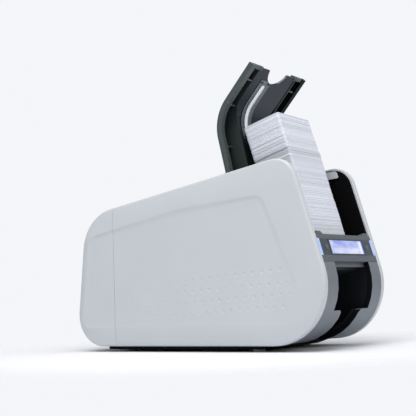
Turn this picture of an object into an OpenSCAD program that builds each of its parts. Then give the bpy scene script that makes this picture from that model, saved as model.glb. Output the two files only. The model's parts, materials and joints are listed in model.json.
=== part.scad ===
// Desktop card printer: hopper in front at the top, output bay below it,
// ribbon and print head under a lid, belt-driven rollers, rear connectors.
// Frame: +X right seen from the front, -Y front, +Z up, origin under the
// middle of the machine on the desk.

/* [Body] */
// Depth of the flat field on a side panel, at its top
field_d = 1.2; // [0.4:0.1:1.4]
// Length over the side panels
body_len = 388; // [360:1:430]
// Height of the top edge line over the middle
mid_h = 215.8; // [205:0.5:240]
// Width over both side panels
body_w = 173; // [165:1:200]
// Gap between the inner edges of the side panels
inner_w = 149; // [145:0.5:152]
// Slope of the top edge, rising to the front (degrees)
top_slope = 9.1; // [5:0.1:11]
// Lean of the front edge (degrees)
front_lean = 15.8; // [12:0.1:18]
// Lean of the rear edge (degrees)
rear_lean = 6.9; // [3:0.1:9]
// Height of the panels' lower edge over the desk
panel_z = 7.6; // [6:0.1:10]
// Corner radii: rear bottom, rear top, front top, front bottom
r_rb = 42; // [30:1:50]
r_rt = 60; // [40:1:65]
r_ft = 30; // [20:1:36]
r_fb = 74; // [60:1:80]

/* [Side panels] */
// Wall of the side panels
panel_wall = 2.5; // [2:0.1:3.2]
// Width of the flat edge band of a panel
rim_w = 8.6; // [7:0.1:9]
// Place of the seam to the rear section, from the middle
seam_y = 126; // [110:1:140]
// Width of the seam
seam_gap = 0.4; // [0.3:0.1:1]

/* [Chassis] */
// Thickness of the side plates
plate_t = 2.7; // [2:0.1:3]
// Inset of the side plates under the panels' edge
plate_inset = 3.2; // [3:0.1:6]
// Radius of the roller shafts
shaft_r = 3; // [2.5:0.1:4]
// Radial running clearance of shafts and hinge pins
fit = 0.05; // [0.02:0.01:0.1]
// Clearance between parts that only lie near each other
gap = 0.3; // [0.2:0.05:0.5]

/* [Cards] */
// Card length, across the machine
card_l = 85.6; // [80:0.1:90]
// Card width, along the machine
card_w = 54; // [50:0.1:58]
// Thickness of one card
card_t = 0.76; // [0.5:0.01:0.9]
// Cards that fit under the shut cover
n_low = 76; // [20:1:80]
// Cards piled on top of them
n_high = 175; // [20:1:180]
// Lean of the card pile (degrees)
stack_lean = 16; // [14:0.5:18]

/* [Hopper cover] */
// Half width of the cover
cov_hw = 68; // [60:0.5:69]
// Bend of the cover (degrees)
cov_bend = 54.8; // [50:0.1:60]
// Outer bend radius
cov_r = 51; // [45:0.5:55]
// Skin thickness
cov_t = 2.5; // [2:0.1:3]
// Height of the side rims
rim_h = 5; // [4:0.5:7]
// Width of the side rims
cov_rim = 8; // [6:0.5:10]
// Half width between the two rails beside the cards
cov_mid = 44.6; // [43.5:0.1:48]
// Height of the rails beside the cards
rail_h = 20; // [14:0.5:22]
// Depth of the channels beside the rails
chan_d = 6; // [3:0.5:8]
// Width of the finger notch
notch_w = 49; // [40:1:56]
// Depth of the finger notch
notch_d = 20; // [14:0.5:22]
// Hinge pin radius
pin_r = 2.5; // [2:0.1:3]

/* [Front] */
// Lower and upper edge of the display module
lcd_z0 = 107.8; // [105:0.1:110]
lcd_z1 = 141.4; // [138:0.1:144]
// Thickness of the display module
lcd_t = 9; // [8:0.1:10]
// Screen width and height
screen_w = 88; // [80:0.5:92]
screen_h = 14.2; // [12:0.1:16]
// Half width of the output opening
bay_hw = 47; // [45:0.5:50]
// Half width of the lower notch of the output opening
notch_hw = 24; // [20:0.5:30]
// Height of the steps in the output opening
step_z = 48; // [42:0.5:54]

/* [Transport] */
// Height of the card path
path_z = 79; // [76:0.5:82]
// Radius of the driven rubber rollers
roll_r = 7; // [6:0.1:7.4]
// Radius of the pinch rollers
pinch_r = 4; // [3.5:0.1:4.4]
// Pulley radius, without its flanges
pulley_r = 8; // [7:0.1:8.5]
// Place of the platen roller
platen_y = 25; // [20:1:30]
// Distance of the eject rollers from the front
eject_d = 82; // [80:1:86]

/* [Hidden] */
$fn = 48;
e = 0.01;
hx = inner_w / 2;
ox = body_w / 2;
// inner and outer face of the side plates
px0 = hx - plate_t - gap;
px1 = hx - gap;

// ---------- plane geometry ----------
function unit(v) = v / norm(v);
function meet(a, b) =
  let (k = a[0] * b[1] - a[1] * b[0])
  [(a[2] * b[1] - b[2] * a[1]) / k, (a[0] * b[2] - b[0] * a[2]) / k];
// edge lines of the side view as [normal y, normal z, distance], set in by i
function l_bot(i) = [0, -1, -panel_z - i];
function l_rear(i) = [cos(rear_lean), sin(rear_lean),
  cos(rear_lean) * (body_len / 2 - r_rb) + sin(rear_lean) * (panel_z + r_rb) + r_rb - i];
function l_top(i) = [sin(top_slope), cos(top_slope), cos(top_slope) * mid_h - i];
function l_front(i) = [-cos(front_lean), sin(front_lean),
  -cos(front_lean) * (r_fb - body_len / 2) + sin(front_lean) * (panel_z + r_fb) + r_fb - i];
// height of the top edge over y, and place of the front edge at height z
function top_at(y, i = 0) = (l_top(i)[2] - sin(top_slope) * y) / cos(top_slope);
function front_at(z, i = 0) = (sin(front_lean) * z - l_front(i)[2]) / cos(front_lean);
function rear_at(z, i = 0) = (l_rear(i)[2] - sin(rear_lean) * z) / cos(rear_lean);
// arc points of one rounded corner c = [y, z, r] between points a and b
function arc_pts(a, c, b, n) =
  let (p = [c[0], c[1]], u = unit([a[0], a[1]] - p), v = unit([b[0], b[1]] - p),
       h = acos(u * v) / 2, o = p + unit(u + v) * (c[2] / sin(h)),
       t = p + u * (c[2] / tan(h)) - o, s = atan2(t[1], t[0]),
       w = (u[0] * v[1] - u[1] * v[0] > 0 ? -1 : 1) * (180 - 2 * h))
  [for (k = [0:n]) o + c[2] * [cos(s + w * k / n), sin(s + w * k / n)]];
function round_poly(q, n = 10) =
  [for (k = [0:len(q) - 1])
    each arc_pts(q[(k + len(q) - 1) % len(q)], q[k], q[(k + 1) % len(q)], n)];
function corner(a, b, r) = let (m = meet(a, b)) [m[0], m[1], r];
function rim(i) = [
  corner(l_bot(i), l_rear(i), r_rb - i), corner(l_rear(i), l_top(i), r_rt - i),
  corner(l_top(i), l_front(i), r_ft - i), corner(l_front(i), l_bot(i), r_fb - i)];
// outline of the flat field on the outside of a panel
crease = [
  [rear_at(panel_z + 25, 12), panel_z + 25, 12], [rear_at(mid_h - 58, 10), mid_h - 58, 8],
  [14, mid_h - 29.3, 150], [-body_len / 2 + 79.9, mid_h - 21.7, 14],
  [-body_len / 2 + 34, panel_z + 71.4, 24], [-body_len / 2 + 44, panel_z + 25, 24]];

// ---------- helpers ----------
module yz(x0, x1) translate([x0, 0, 0]) rotate([90, 0, 90]) linear_extrude(x1 - x0) children();
module rod(p, x0, x1, r) translate([x0, p[0], p[1]]) rotate([0, 90, 0]) cylinder(r = r, h = x1 - x0);
module both() { children(); mirror([1, 0, 0]) children(); }
module side(s) { if (s > 0) children(); else mirror([1, 0, 0]) children(); }
module block(x0, x1, y0, y1, z0, z1) translate([x0, y0, z0]) cube([x1 - x0, y1 - y0, z1 - z0]);
// frame on the front edge: x across, y up the slope, z outward
module on_front(z) translate([0, front_at(z), z]) rotate([90 - front_lean, 0, 0]) children();
// frame of the card pile: x across, y to the rear, z up the pile
stack_z = 118;
stack_y = -168.8 - (body_len - 388) / 2;
module in_stack() translate([0, stack_y, stack_z]) rotate([-stack_lean, 0, 0]) children();
function stack_pt(y, z) = [
  stack_y + y * cos(stack_lean) + z * sin(stack_lean),
  stack_z - y * sin(stack_lean) + z * cos(stack_lean)];

// ---------- side panels ----------
function cdir(a) = [cos(a), sin(a)];
// outlines are sampled on the same rays out of one point, so that they can be lofted
mid_c = [0, mid_h / 2];
function sorted(v) = len(v) < 2 ? v : let (p = v[floor(len(v) / 2)])
  concat(sorted([for (x = v) if (x < p) x]), [p], sorted([for (x = v) if (x > p) x]));
function spaced(v) = [for (i = [0:len(v) - 1]) if (i == 0 || v[i] - v[i - 1] > 0.3) v[i]];
rays = spaced(sorted([for (q = concat(round_poly(rim(0)), round_poly(crease, 6)))
  atan2(q[1] - mid_c[1], q[0] - mid_c[0])]));
function hit(q, a) = [for (i = [0:len(q) - 1])
  let (p = q[i] - mid_c, r = q[(i + 1) % len(q)] - q[i], d = cdir(a), k = d[0] * r[1] - d[1] * r[0],
       t = (p[0] * r[1] - p[1] * r[0]) / k, m = (p[0] * d[1] - p[1] * d[0]) / k)
  if (k > 1e-6 && m > -1e-6 && m < 1 + 1e-6) mid_c + t * d][0];
function outline(q) = let (p = round_poly(q, 12)) [for (a = rays) hit(p, a)];
function drawn_in(pts, d) = [for (p = pts) mid_c + (p - mid_c) * (1 - d / norm(p - mid_c))];
// the field sinks under its edge towards the top
function field_x(z) = ox - 0.2 - field_d * (z - panel_z - 25) / (mid_h - 46.7);
function ring(x, pts) = [for (p = pts) [x, p[0], p[1]]];
function field_ring(pts, d = 0) = [for (p = pts) [field_x(p[1]) - d, p[0], p[1]]];
module loft(rings) {
  m = len(rings[0]);
  k = len(rings);
  polyhedron(
    points = [for (r = rings) each r],
    faces = concat(
      [[for (i = [0:m - 1]) i]],
      [for (j = [0:k - 2]) for (i = [0:m - 1])
        let (a = j * m + i, b = j * m + (i + 1) % m)
        each [[a, b + m, b], [a, a + m, b + m]]],
      [[for (i = [m - 1:-1:0]) (k - 1) * m + i]]),
    convexity = 6);
}
module panel_shell() {
  w = panel_wall;
  edge = outline(crease);
  loft([
    field_ring(drawn_in(edge, 3)),
    ring(ox, edge),
    ring(hx + rim_w + 0.6, outline(rim(3))),
    ring(hx + rim_w - 0.3, outline(rim(0.9))),
    ring(hx + rim_w - 2.4, outline(rim(0))),
    ring(hx + 0.8, outline(rim(0))),
    ring(hx, outline(rim(0.6))),
    ring(hx, outline(rim(w + 0.4))),
    ring(hx + rim_w - 2, outline(rim(w + 0.6))),
    field_ring(drawn_in(edge, 4), w)]);
}
module panel_part(s, y0, y1) side(s) intersection() {
  panel_shell();
  block(hx - 5, ox + 5, y0, y1, 0, 300);
}
module side_panel_left() color("gainsboro") panel_part(-1, -300, seam_y - seam_gap / 2);
module side_panel_right() color("gainsboro") panel_part(1, -300, seam_y - seam_gap / 2);
module rear_panel_left() color("gainsboro") panel_part(-1, seam_y + seam_gap / 2, 300);
module rear_panel_right() color("gainsboro") panel_part(1, seam_y + seam_gap / 2, 300);

// ---------- roller places ----------
sl = stack_lean;
// the card line out of the hopper passes this point at the feed rollers
feed_d = card_w + 23;
feed_lo = stack_pt(feed_d, -roll_r - gap);
feed_hi = stack_pt(feed_d, pinch_r + 1.5 + card_t + gap);
pick_p = stack_pt(card_w - 8, -roll_r - gap);
eject_y = -body_len / 2 + eject_d;
eject_lo = [eject_y, path_z - roll_r - gap];
eject_hi = [eject_y, path_z + card_t + pinch_r + gap];
platen_p = [platen_y, path_z - roll_r - gap];
clean_p = [-62, path_z + card_t + 6 + gap];
motor_p = [-40, 42];
hinge_p = [-54, top_at(-54) - 0.75];
lid_p = [128, top_at(128) - 7.5];
head_p = [94, 116];
supply_p = [60, 126];
takeup_p = [-14, 126];

// ---------- chassis ----------
module plate_holes(s) {
  x0 = px0 - 1;
  x1 = px1 + 1;
  for (p = [feed_lo, pick_p, eject_lo, platen_p]) rod(p, x0, x1, shaft_r + fit);
  for (p = [feed_hi, eject_hi, clean_p]) rod(p, x0, x1, 2 + fit);
  rod(hinge_p, x0, x1, pin_r + fit);
  rod(lid_p, x0, x1, pin_r + fit);
  rod(head_p, x0, x1, pin_r + fit);
  if (s > 0) rod(motor_p, x0, x1, 6);
  // lightening windows
  for (q = [[55, 34, 9], [105, 60, 14], [-130, 45, 10], [150, 60, 12], [-5, 30, 9]])
    rod([q[0], q[1]], x0, x1, q[2]);
}
module chassis(s) side(s) difference() {
  union() {
    yz(px0, px1) polygon(round_poly(rim(plate_inset)));
    // folded foot of the plate
    block(px0 - 12, px1, tray_y0 + 5, tray_y1 - 20, tray_z1, tray_z1 + 2.5);
  }
  plate_holes(s);
}
module chassis_left() color([0.12, 0.12, 0.13]) chassis(-1);
module chassis_right() color([0.12, 0.12, 0.13]) chassis(1);

tray_y0 = -body_len / 2 + 94;
tray_y1 = body_len / 2 - 44;
tray_z1 = 12;
module base_tray() color([0.09, 0.09, 0.1]) difference() {
  union() {
    block(-px0 + gap, px0 - gap, tray_y0, tray_y1, 3, tray_z1);
    // sloping front nose
    yz(-60, 60) polygon([[tray_y0 + 1, 3], [tray_y0 - 4, 3], [tray_y0 - 26, 10.4],
      [tray_y0 - 26, tray_z1], [tray_y0 + 1, tray_z1]]);
  }
  // ribbed underside
  for (k = [0:3]) block(-62, 62, tray_y0 + 12 + k * 60, tray_y0 + 58 + k * 60, 2, 5.5);
}
foot_y = [tray_y0 + 16, tray_y1 - 18];
module feet() color([0.45, 0.46, 0.48]) both() for (y = foot_y)
  difference() {
    translate([58, y, 0]) cylinder(r = 8, h = 3);
    translate([58, y, -1]) cylinder(r = 3, h = 2);
  }

// ---------- rear cover ----------
rc_t = 2.6;
jack_p = [-48, 66];
usb_p = [-14, 66];
lan_p = [14, 66];
switch_p = [46, 66];
module on_rear(x, z) translate([x, rear_at(z, 1), z]) rotate([-90 + rear_lean, 0, 0]) rotate([0, 0, 180]) children();
module rear_cover() color([0.3, 0.31, 0.33]) difference() {
  union() {
    yz(-px0 + gap, px0 - gap) difference() {
      polygon(round_poly(rim(1)));
      polygon(round_poly(rim(1 + rc_t)));
      translate([-300, -50]) square([300 + 133, 400]);
      translate([-300, -50]) square([600, 50 + 16]);
    }
    // cheeks that carry the rocker of the power switch
    on_rear(switch_p[0], switch_p[1]) for (m = [-1, 1])
      translate([m * 12.9 - 1.5, -4, -9]) cube([3, 8, 9 - rc_t + 0.5]);
  }
  on_rear(switch_p[0], switch_p[1]) translate([-16, 0, rock_z]) rotate([0, 90, 0]) cylinder(r = 1.5 + fit, h = 32);
  // room for the rear edge of the lid as it turns
  rod(lid_p, -px0, px0, 8.8);
  // connector openings
  on_rear(jack_p[0], jack_p[1]) translate([0, 0, -9]) cylinder(r = 6 + gap, h = 12);
  on_rear(usb_p[0], usb_p[1]) translate([-7 - gap, -6.5 - gap, -9]) cube([14 + 2 * gap, 13 + 2 * gap, 12]);
  on_rear(lan_p[0], lan_p[1]) translate([-8.5 - gap, -7.5 - gap, -9]) cube([17 + 2 * gap, 15 + 2 * gap, 12]);
  on_rear(switch_p[0], switch_p[1]) translate([-11, -7.5, -9]) cube([22, 15, 12]);
  // vent slots
  for (k = [-5:5]) on_rear(k * 9, 118) translate([-2, -14, -9]) cube([4, 28, 12]);
}
module power_jack() color([0.08, 0.08, 0.09]) on_rear(jack_p[0], jack_p[1]) difference() {
  union() {
    translate([0, 0, -12]) cylinder(r = 6, h = 12);
    translate([-7, -7, -16]) cube([14, 14, 16 - rc_t - gap]);
  }
  translate([0, 0, -10]) difference() {
    cylinder(r = 4.2, h = 12);
    cylinder(r = 1, h = 8);
  }
}
module port(w, h, w2, h2, d) difference() {
  translate([-w / 2, -h / 2, -d]) cube([w, h, d]);
  translate([-w2 / 2, -h2 / 2, -d + 2]) cube([w2, h2, d]);
}
module usb_port() color([0.7, 0.7, 0.72]) on_rear(usb_p[0], usb_p[1]) union() {
  port(14, 13, 12, 10.9, 14);
  translate([-3, -2.6, -13]) cube([6, 5.2, 9]);
}
module lan_port() color([0.7, 0.7, 0.72]) on_rear(lan_p[0], lan_p[1]) port(17, 15, 12, 9, 14);
// rocker switch, pivoting about x at its middle
rock_z = -5.2;
rock_a = 8;
module power_switch() color([0.1, 0.1, 0.11]) on_rear(switch_p[0], switch_p[1])
  translate([0, 0, rock_z]) rotate([rock_a, 0, 0]) union() {
    difference() {
      translate([-10.6, 0, 0]) rotate([0, 90, 0]) cylinder(r = 6.8, h = 21.2);
      // concave rocker face
      translate([-12, 0, 12.4]) rotate([0, 90, 0]) cylinder(r = 8, h = 24);
      translate([-12, -8, -9]) cube([24, 16, 5]);
    }
    translate([-13.4, 0, 0]) rotate([0, 90, 0]) cylinder(r = 1.5, h = 26.8);
  }

// ---------- hopper cover ----------
// outline of the open cover: straight, bend, straight, offset inward by d
cov_a = 77.9;
cov_l1 = 85.3;
cov_l2 = 85.9;
cov_s = [-55, 217.7] + [hinge_p[0] + 54, hinge_p[1] - 223.7];
cov_c = cov_s + cov_l1 * cdir(cov_a);
cov_e = cov_c + cov_l2 * cdir(cov_a + cov_bend);
function cov_line(d, s0 = 0, s1 = 0, n = 16) =
  let (n1 = cdir(cov_a + 90), n2 = cdir(cov_a + cov_bend + 90),
       a = cov_s + n1 * d + s0 * cdir(cov_a), b = cov_e + n2 * d - s1 * cdir(cov_a + cov_bend),
       c = cov_c + unit(n1 + n2) * d / cos(cov_bend / 2))
  concat([a], arc_pts(a, [c[0], c[1], cov_r - d], b, n), [b]);
function rev(v) = [for (i = [len(v) - 1:-1:0]) v[i]];
module cov_strip(d0, d1, s0 = 0, s1 = 0)
  polygon(concat(cov_line(d0, s0, s1), rev(cov_line(d1, s0, s1))));
// frame at arc place s along the second straight, from the end
module at_end(s, x) {
  q = cov_e - s * cdir(cov_a + cov_bend);
  translate([x, q[0], q[1]]) rotate([cov_a + cov_bend - 90, 0, 0]) children();
}
function on_s1(s, d) = cov_s + s * cdir(cov_a) + d * cdir(cov_a + 90);
function on_s2(s, d) = cov_e - s * cdir(cov_a + cov_bend) + d * cdir(cov_a + cov_bend + 90);
// meeting point of the line through p along u and the line through q along v
function crossing(p, u, q, v) = p + u * ((q - p)[0] * v[1] - (q - p)[1] * v[0]) / (u[0] * v[1] - u[1] * v[0]);
// outline bent like the cover, h1 inside the first straight and h2 inside the second
function bent(h1, h2, r, s0, s1, n = 16) =
  let (a = on_s1(s0, h1), b = on_s2(s1, h2), c = crossing(a, cdir(cov_a), b, cdir(cov_a + cov_bend)))
  concat([a], arc_pts(a, [c[0], c[1], r], b, n), [b]);
// middle panel: it stands further in along the first straight
mid_1 = 9.5;
mid_2 = 0.5;
mid_r = 42;
module mid_strip(d0, d1, s0, s1)
  polygon(concat(bent(mid_1 + d0, mid_2 + d0, mid_r - d0, s0, s1),
    rev(bent(mid_1 + d1, mid_2 + d1, mid_r - d1, s0, s1))));
rail_t = 2.4;
module rail() polygon(concat(
  [on_s1(6, -chan_d + 0.5), on_s1(6, 6), on_s1(16, rail_h)],
  bent(rail_h, 4, 30, 24, 2), [on_s2(2, 1)],
  rev(cov_line(-chan_d + 0.5, 8, 2))));
module on_1(s0, s1, d0, d1) polygon([on_s1(s0, d0), on_s1(s1, d0), on_s1(s1, d1), on_s1(s0, d1)]);
module on_2(s0, s1, d0, d1) polygon([on_s2(s0, d0), on_s2(s1, d0), on_s2(s1, d1), on_s2(s0, d1)]);
// rib across a channel, at q, standing on the skin at angle a
module gusset(q, a) translate([cov_mid + 1, q[0], q[1]]) rotate([a - 90, 0, 0])
  translate([0, -rim_h + 1.4, -0.9]) cube([cov_hw - cov_rim - cov_mid, rim_h + chan_d - 2.4, 1.8]);
win_x = -16;
win_w = 11;
win_s1 = 64;
win_s2 = 24;
tab_x = 41;
tab_d = 1.8;
module hopper_cover() color([0.27, 0.29, 0.3]) difference() {
  union() {
    // rims along both sides, and the channels beside the rails
    both() yz(cov_hw - cov_rim, cov_hw) cov_strip(0, rim_h);
    both() yz(cov_hw - cov_rim, cov_hw - cov_rim + 2) cov_strip(-chan_d, 1, 8, tab_d);
    both() yz(cov_mid, cov_hw - cov_rim + 1) cov_strip(-chan_d, -chan_d + cov_t, 8, tab_d);
    // rails beside the cards
    both() yz(cov_mid, cov_mid + rail_t) rail();
    // middle panel
    yz(-cov_mid - 1, cov_mid + 1) mid_strip(0, cov_t, 8, tab_d);
    // end walls of the channels, and the tabs
    both() yz(cov_mid, cov_hw - cov_rim + 1) on_1(8, 10.2, -chan_d, rim_h - 1);
    both() yz(cov_mid, cov_hw - cov_rim + 1) on_2(tab_d, 4, -chan_d, 2.5);
    both() yz(tab_x, cov_hw) on_2(0, 5, 0, 3.8);
    // hinge barrels
    both() rod(hinge_p, cov_hw - 12, px0 - 0.8, 4.4);
    both() rod(hinge_p, cov_hw, px1 - 0.3, pin_r);
    // ribs across the channels
    both() {
      gusset(on_s1(46, 0), cov_a);
      gusset(on_s2(62, 0), cov_a + cov_bend);
      gusset(on_s2(22, 0), cov_a + cov_bend);
    }
    // raised frame of the level window, and the studs that hold it
    yz(win_x - 12, win_x + 12) mid_strip(cov_t - 0.5, cov_t + 0.8, win_s1 - 8, win_s2 - 7);
    for (x = [-7.7, 7.7]) yz(win_x + x - 1.7, win_x + x + 1.7) {
      on_1(win_s1 - 6, win_s1 - 2.6, mid_1 + cov_t, mid_1 + cov_t + 1.8);
      on_2(win_s2 - 5, win_s2 - 1.6, mid_2 + cov_t, mid_2 + cov_t + 1.8);
    }
  }
  // finger notch with rounded shoulders
  at_end(notch_d - notch_w / 2 + 2, 0) rotate([90, 0, 0]) translate([0, 0, -10]) cylinder(r = notch_w / 2 - 2, h = 40);
  at_end(0, 0) translate([-notch_w / 2 + 2, -30, -2.5]) cube([notch_w - 4, 40, 10]);
  // slot of the level window
  yz(win_x - win_w / 2, win_x + win_w / 2) mid_strip(-1, 6, win_s1, win_s2);
  // the rims are hollow from behind
  both() yz(cov_hw - cov_rim + 2, cov_hw - 2) cov_strip(-1, rim_h - 2, 22, 8);
}
module cover_window() color([0.85, 0.9, 0.95, 0.5])
  yz(win_x - win_w / 2 + 0.1, win_x + win_w / 2 - 0.1) mid_strip(0, cov_t + 1.4, win_s1 + 0.1, win_s2 + 0.1);

// ---------- top cover ----------
lid_y0 = -45;
lid_y1 = 131.5;
lid_in = 1.2;
module top_cover() color([0.3, 0.31, 0.33]) union() {
  difference() {
    union() {
      yz(-px0 + 0.8, px0 - 0.8) polygon([[lid_y0, top_at(lid_y0, lid_in)], [lid_y1 - 6, top_at(lid_y1 - 6, lid_in)],
        [lid_y1, top_at(lid_y1, lid_in) - 2], [lid_y1, top_at(lid_y1, lid_in + 6)], [lid_y1 - 3, top_at(lid_y1 - 3, lid_in + 3)],
        [lid_y0 + 3, top_at(lid_y0 + 3, lid_in + 3)], [lid_y0 + 3, top_at(lid_y0, lid_in + 13)], [lid_y0, top_at(lid_y0, lid_in + 13)]]);
      both() yz(px0 - 3.4, px0 - 0.8) polygon([[lid_y0, top_at(lid_y0, lid_in)], [lid_y1 - 6, top_at(lid_y1 - 6, lid_in)],
        [lid_y1 - 6, top_at(lid_y1 - 6, lid_in + 10)], [lid_y0, top_at(lid_y0, lid_in + 13)]]);
      // cross ribs under the skin
      for (y = [0, 42, 84]) yz(-px0 + 2, px0 - 2) polygon([[y, top_at(y, lid_in + 2)], [y + 2, top_at(y + 2, lid_in + 2)],
        [y + 2, top_at(y + 2, lid_in + 8)], [y, top_at(y, lid_in + 8)]]);
    }
    // shallow finger dip at the front edge
    translate([0, lid_y0 - 4, top_at(lid_y0) + 16]) rotate([0, 90, 90]) cylinder(r = 20, h = 18);
  }
  both() difference() {
    rod(lid_p, px0 - 14, px0 - 0.8, 4.6);
    rod(lid_p, px0 - 20, px0 - 10, 2.5);
  }
  both() rod(lid_p, px0 - 1, px1 - 0.3, pin_r);
}

// ---------- display module ----------
lcd_h = (lcd_z1 - lcd_z0) / cos(front_lean);
led_w = 4.8;
led_t = 2.6;
scr_y = (125.7 - lcd_z0) / cos(front_lean);
btn_x = 55;
brd_t = 1.4;
module on_lcd(x, w, h, z0, z1, y = scr_y) translate([x - w / 2, y - h / 2, z0]) cube([w, h, z1 - z0]);
module lcd_bezel() color([0.4, 0.41, 0.43]) on_front(lcd_z0) difference() {
  union() {
    on_lcd(0, 2 * (px0 - gap), lcd_h, -lcd_t, -0.6, lcd_h / 2);
    // front flange over the edges of the side plates
    on_lcd(0, 2 * (hx - gap), lcd_h, -led_t - 0.2, -0.6, lcd_h / 2);
    // ears at both ends of the bar
    both() translate([px0 - gap - 12, lcd_h - 2, -lcd_t]) cube([12, 6, lcd_t - 1]);
    both() translate([px0 - gap - 17, lcd_h - e, -lcd_t]) linear_extrude(lcd_t - 1)
      polygon([[0, 0], [5 + e, 0], [5 + e, 4]]);
    // raised field around the screen
    on_lcd(0, screen_w + 8, screen_h + 6, -1, -0.2);
  }
  on_lcd(0, screen_w, screen_h, -8, 2);
  on_lcd(0, screen_w + 4, screen_h + 4, -lcd_t - 1, -3.7);
  // pocket of the circuit board
  on_lcd(0, 132, lcd_h - 8, -lcd_t - 1, -5.8, lcd_h / 2);
  both() on_lcd(hx - gap, 10, 21.2, -led_t - 0.5, 5);
  both() translate([btn_x, scr_y, -lcd_t - 1]) cylinder(r = 4 + gap, h = 20);
  both() translate([btn_x, scr_y, -lcd_t - 1]) cylinder(r = 6.4, h = lcd_t - 2.2);
}
module lcd_screen() color([0.75, 0.8, 1]) on_front(lcd_z0) on_lcd(0, screen_w + 3.4, screen_h + 3.4, -7, -4);
module lcd_board() color([0.1, 0.35, 0.2]) on_front(lcd_z0) on_lcd(0, 131.4, lcd_h - 8.6, -7 - brd_t, -7, lcd_h / 2);
module led(s) side(s) on_front(lcd_z0) on_lcd(hx - gap - led_w / 2, led_w, 20.8, -led_t - 0.3, -0.3);
module led_left() color([0.6, 0.7, 1]) led(-1);
module led_right() color([0.6, 0.7, 1]) led(1);
btn_travel = 0.8;
module button(s) side(s) on_front(lcd_z0) translate([btn_x, scr_y, 0]) union() {
  translate([0, 0, -5]) cylinder(r = 4, h = 5);
  translate([0, 0, -5.6]) cylinder(r = 5.6, h = 1.6);
}
module button_left() color([0.45, 0.46, 0.48]) button(-1);
module button_right() color([0.45, 0.46, 0.48]) button(1);

// ---------- output bay ----------
bf_t = 7;
bl_w = 2.2;
bay_back = pick_p[0] - roll_r - bl_w - 0.2;
rail_z = -4;
module bay_shell(w, t) yz(-w, w) difference() {
  polygon(round_poly(rim(0.6)));
  polygon(round_poly(rim(0.6 + t)));
  translate([front_at(lcd_z0), lcd_z0]) rotate(-front_lean) translate([-100, -gap]) square([400, 300]);
  translate([tray_y0 - 26 - gap, -50]) square([600, 400]);
}
module bay_frame() color([0.42, 0.43, 0.45]) union() {
  difference() {
    union() {
      bay_shell(px0 - gap, bf_t);
      bay_shell(hx - gap, 2.2);
    }
    block(-bay_hw, bay_hw, -300, 0, step_z, 200);
    block(-notch_hw, notch_hw, -300, 0, 0, 200);
    // rounded shoulders of the steps
    both() translate([notch_hw, -300, step_z - 8]) rotate([-90, 0, 0]) difference() {
      translate([-1, -9, 0]) cube([9, 9, 300]);
      translate([8, 0, -1]) cylinder(r = 8, h = 302);
    }
  }
  // rail behind the display module that joins both cheeks
  on_front(lcd_z0) translate([-px0 + gap, rail_z, -lcd_t - 4]) cube([2 * (px0 - gap), 14, 3.6]);
  both() on_front(lcd_z0) translate([bay_hw + bl_w + gap, -6, -lcd_t - 4]) cube([px0 - gap - bay_hw - bl_w - gap, 6 - gap, 8]);
}
module bay_liner() color([0.07, 0.07, 0.08]) difference() {
  yz(-bay_hw - bl_w, bay_hw + bl_w) difference() {
    intersection() {
      polygon(round_poly(rim(0.6 + bf_t + gap)));
      translate([-300, 12.4]) square([300 + bay_back + bl_w, 88]);
    }
  }
  // inside of the bay, with a curved floor
  yz(-bay_hw, bay_hw) intersection() {
    polygon(round_poly(rim(0.6 + bf_t + gap + 3)));
    translate([-300, 12.4 + 3]) square([300 + bay_back, 100]);
  }
  // front opening
  block(-bay_hw, bay_hw, -300, -150, step_z, 200);
  block(-notch_hw, notch_hw, -300, bay_back - 6, 20, 200);
  // room for the rail behind the display module
  on_front(lcd_z0) translate([-px0, rail_z - gap, -lcd_t - 4 - gap]) cube([2 * px0, 20, 3.6 + 2 * gap]);
  // slot for the ejected card
  block(-bay_hw + 1, bay_hw - 1, bay_back - 5, bay_back + 5, path_z - 2, path_z + 6);
}
module exit_guide() color([0.35, 0.36, 0.38]) union() {
  yz(-bay_hw + 0.3, bay_hw - 0.3) polygon([for (q = [[-34, 99.5], [-1, 90.5], [-1, 88.9], [-34.5, 97.9]]) [bay_back + q[0], q[1]]]);
  rod([bay_back - 35, 99.4], -bay_hw + 0.3, bay_hw - 0.3, 2);
}

// ---------- hopper ----------
floor_t = 2.5;
module hopper_floor() color([0.1, 0.1, 0.11]) difference() {
  union() {
    in_stack() translate([-px0 + gap, -3, -floor_t - 0.2]) cube([2 * (px0 - gap), card_w + 10, floor_t]);
    // front lip behind the display module
    in_stack() translate([-px0 + gap, -3, -floor_t]) cube([2 * (px0 - gap), 2.2, 18]);
  }
  // slots for the two tyres of the pick-up roller
  both() in_stack() translate([14, card_w - 8 - roll_r - 2, -10]) cube([22, 2 * roll_r + 4, 20]);
}
module hopper_back() color([0.1, 0.1, 0.11]) in_stack() difference() {
  translate([-px0 + gap, card_w + 1, 4]) cube([2 * (px0 - gap), 2.2, 74]);
  // finger window in the middle
  translate([0, card_w - 5, 78]) rotate([-90, 0, 0]) cylinder(r = 18, h = 20);
}
module card_guides() color([0.1, 0.1, 0.11]) both() in_stack() union() {
  translate([card_l / 2 + 0.6, card_w - 26, 0]) cube([2.2, 26.9, 70]);
  for (k = [0:3]) translate([card_l / 2 + 2.7, card_w - 22, 6 + k * 18]) cube([px0 - gap - card_l / 2 - 2.7, 2.2, 10]);
}
module rest_pads() color([0.75, 0.76, 0.78]) both() yz(px0 - 2.2, px0) polygon(round_poly([
  [-141, top_at(-141, 16), 2], [-121, top_at(-121, 14), 2], [-121, top_at(-121, 4.5), 2], [-137, top_at(-137, 5.5), 4]], 4));

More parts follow.
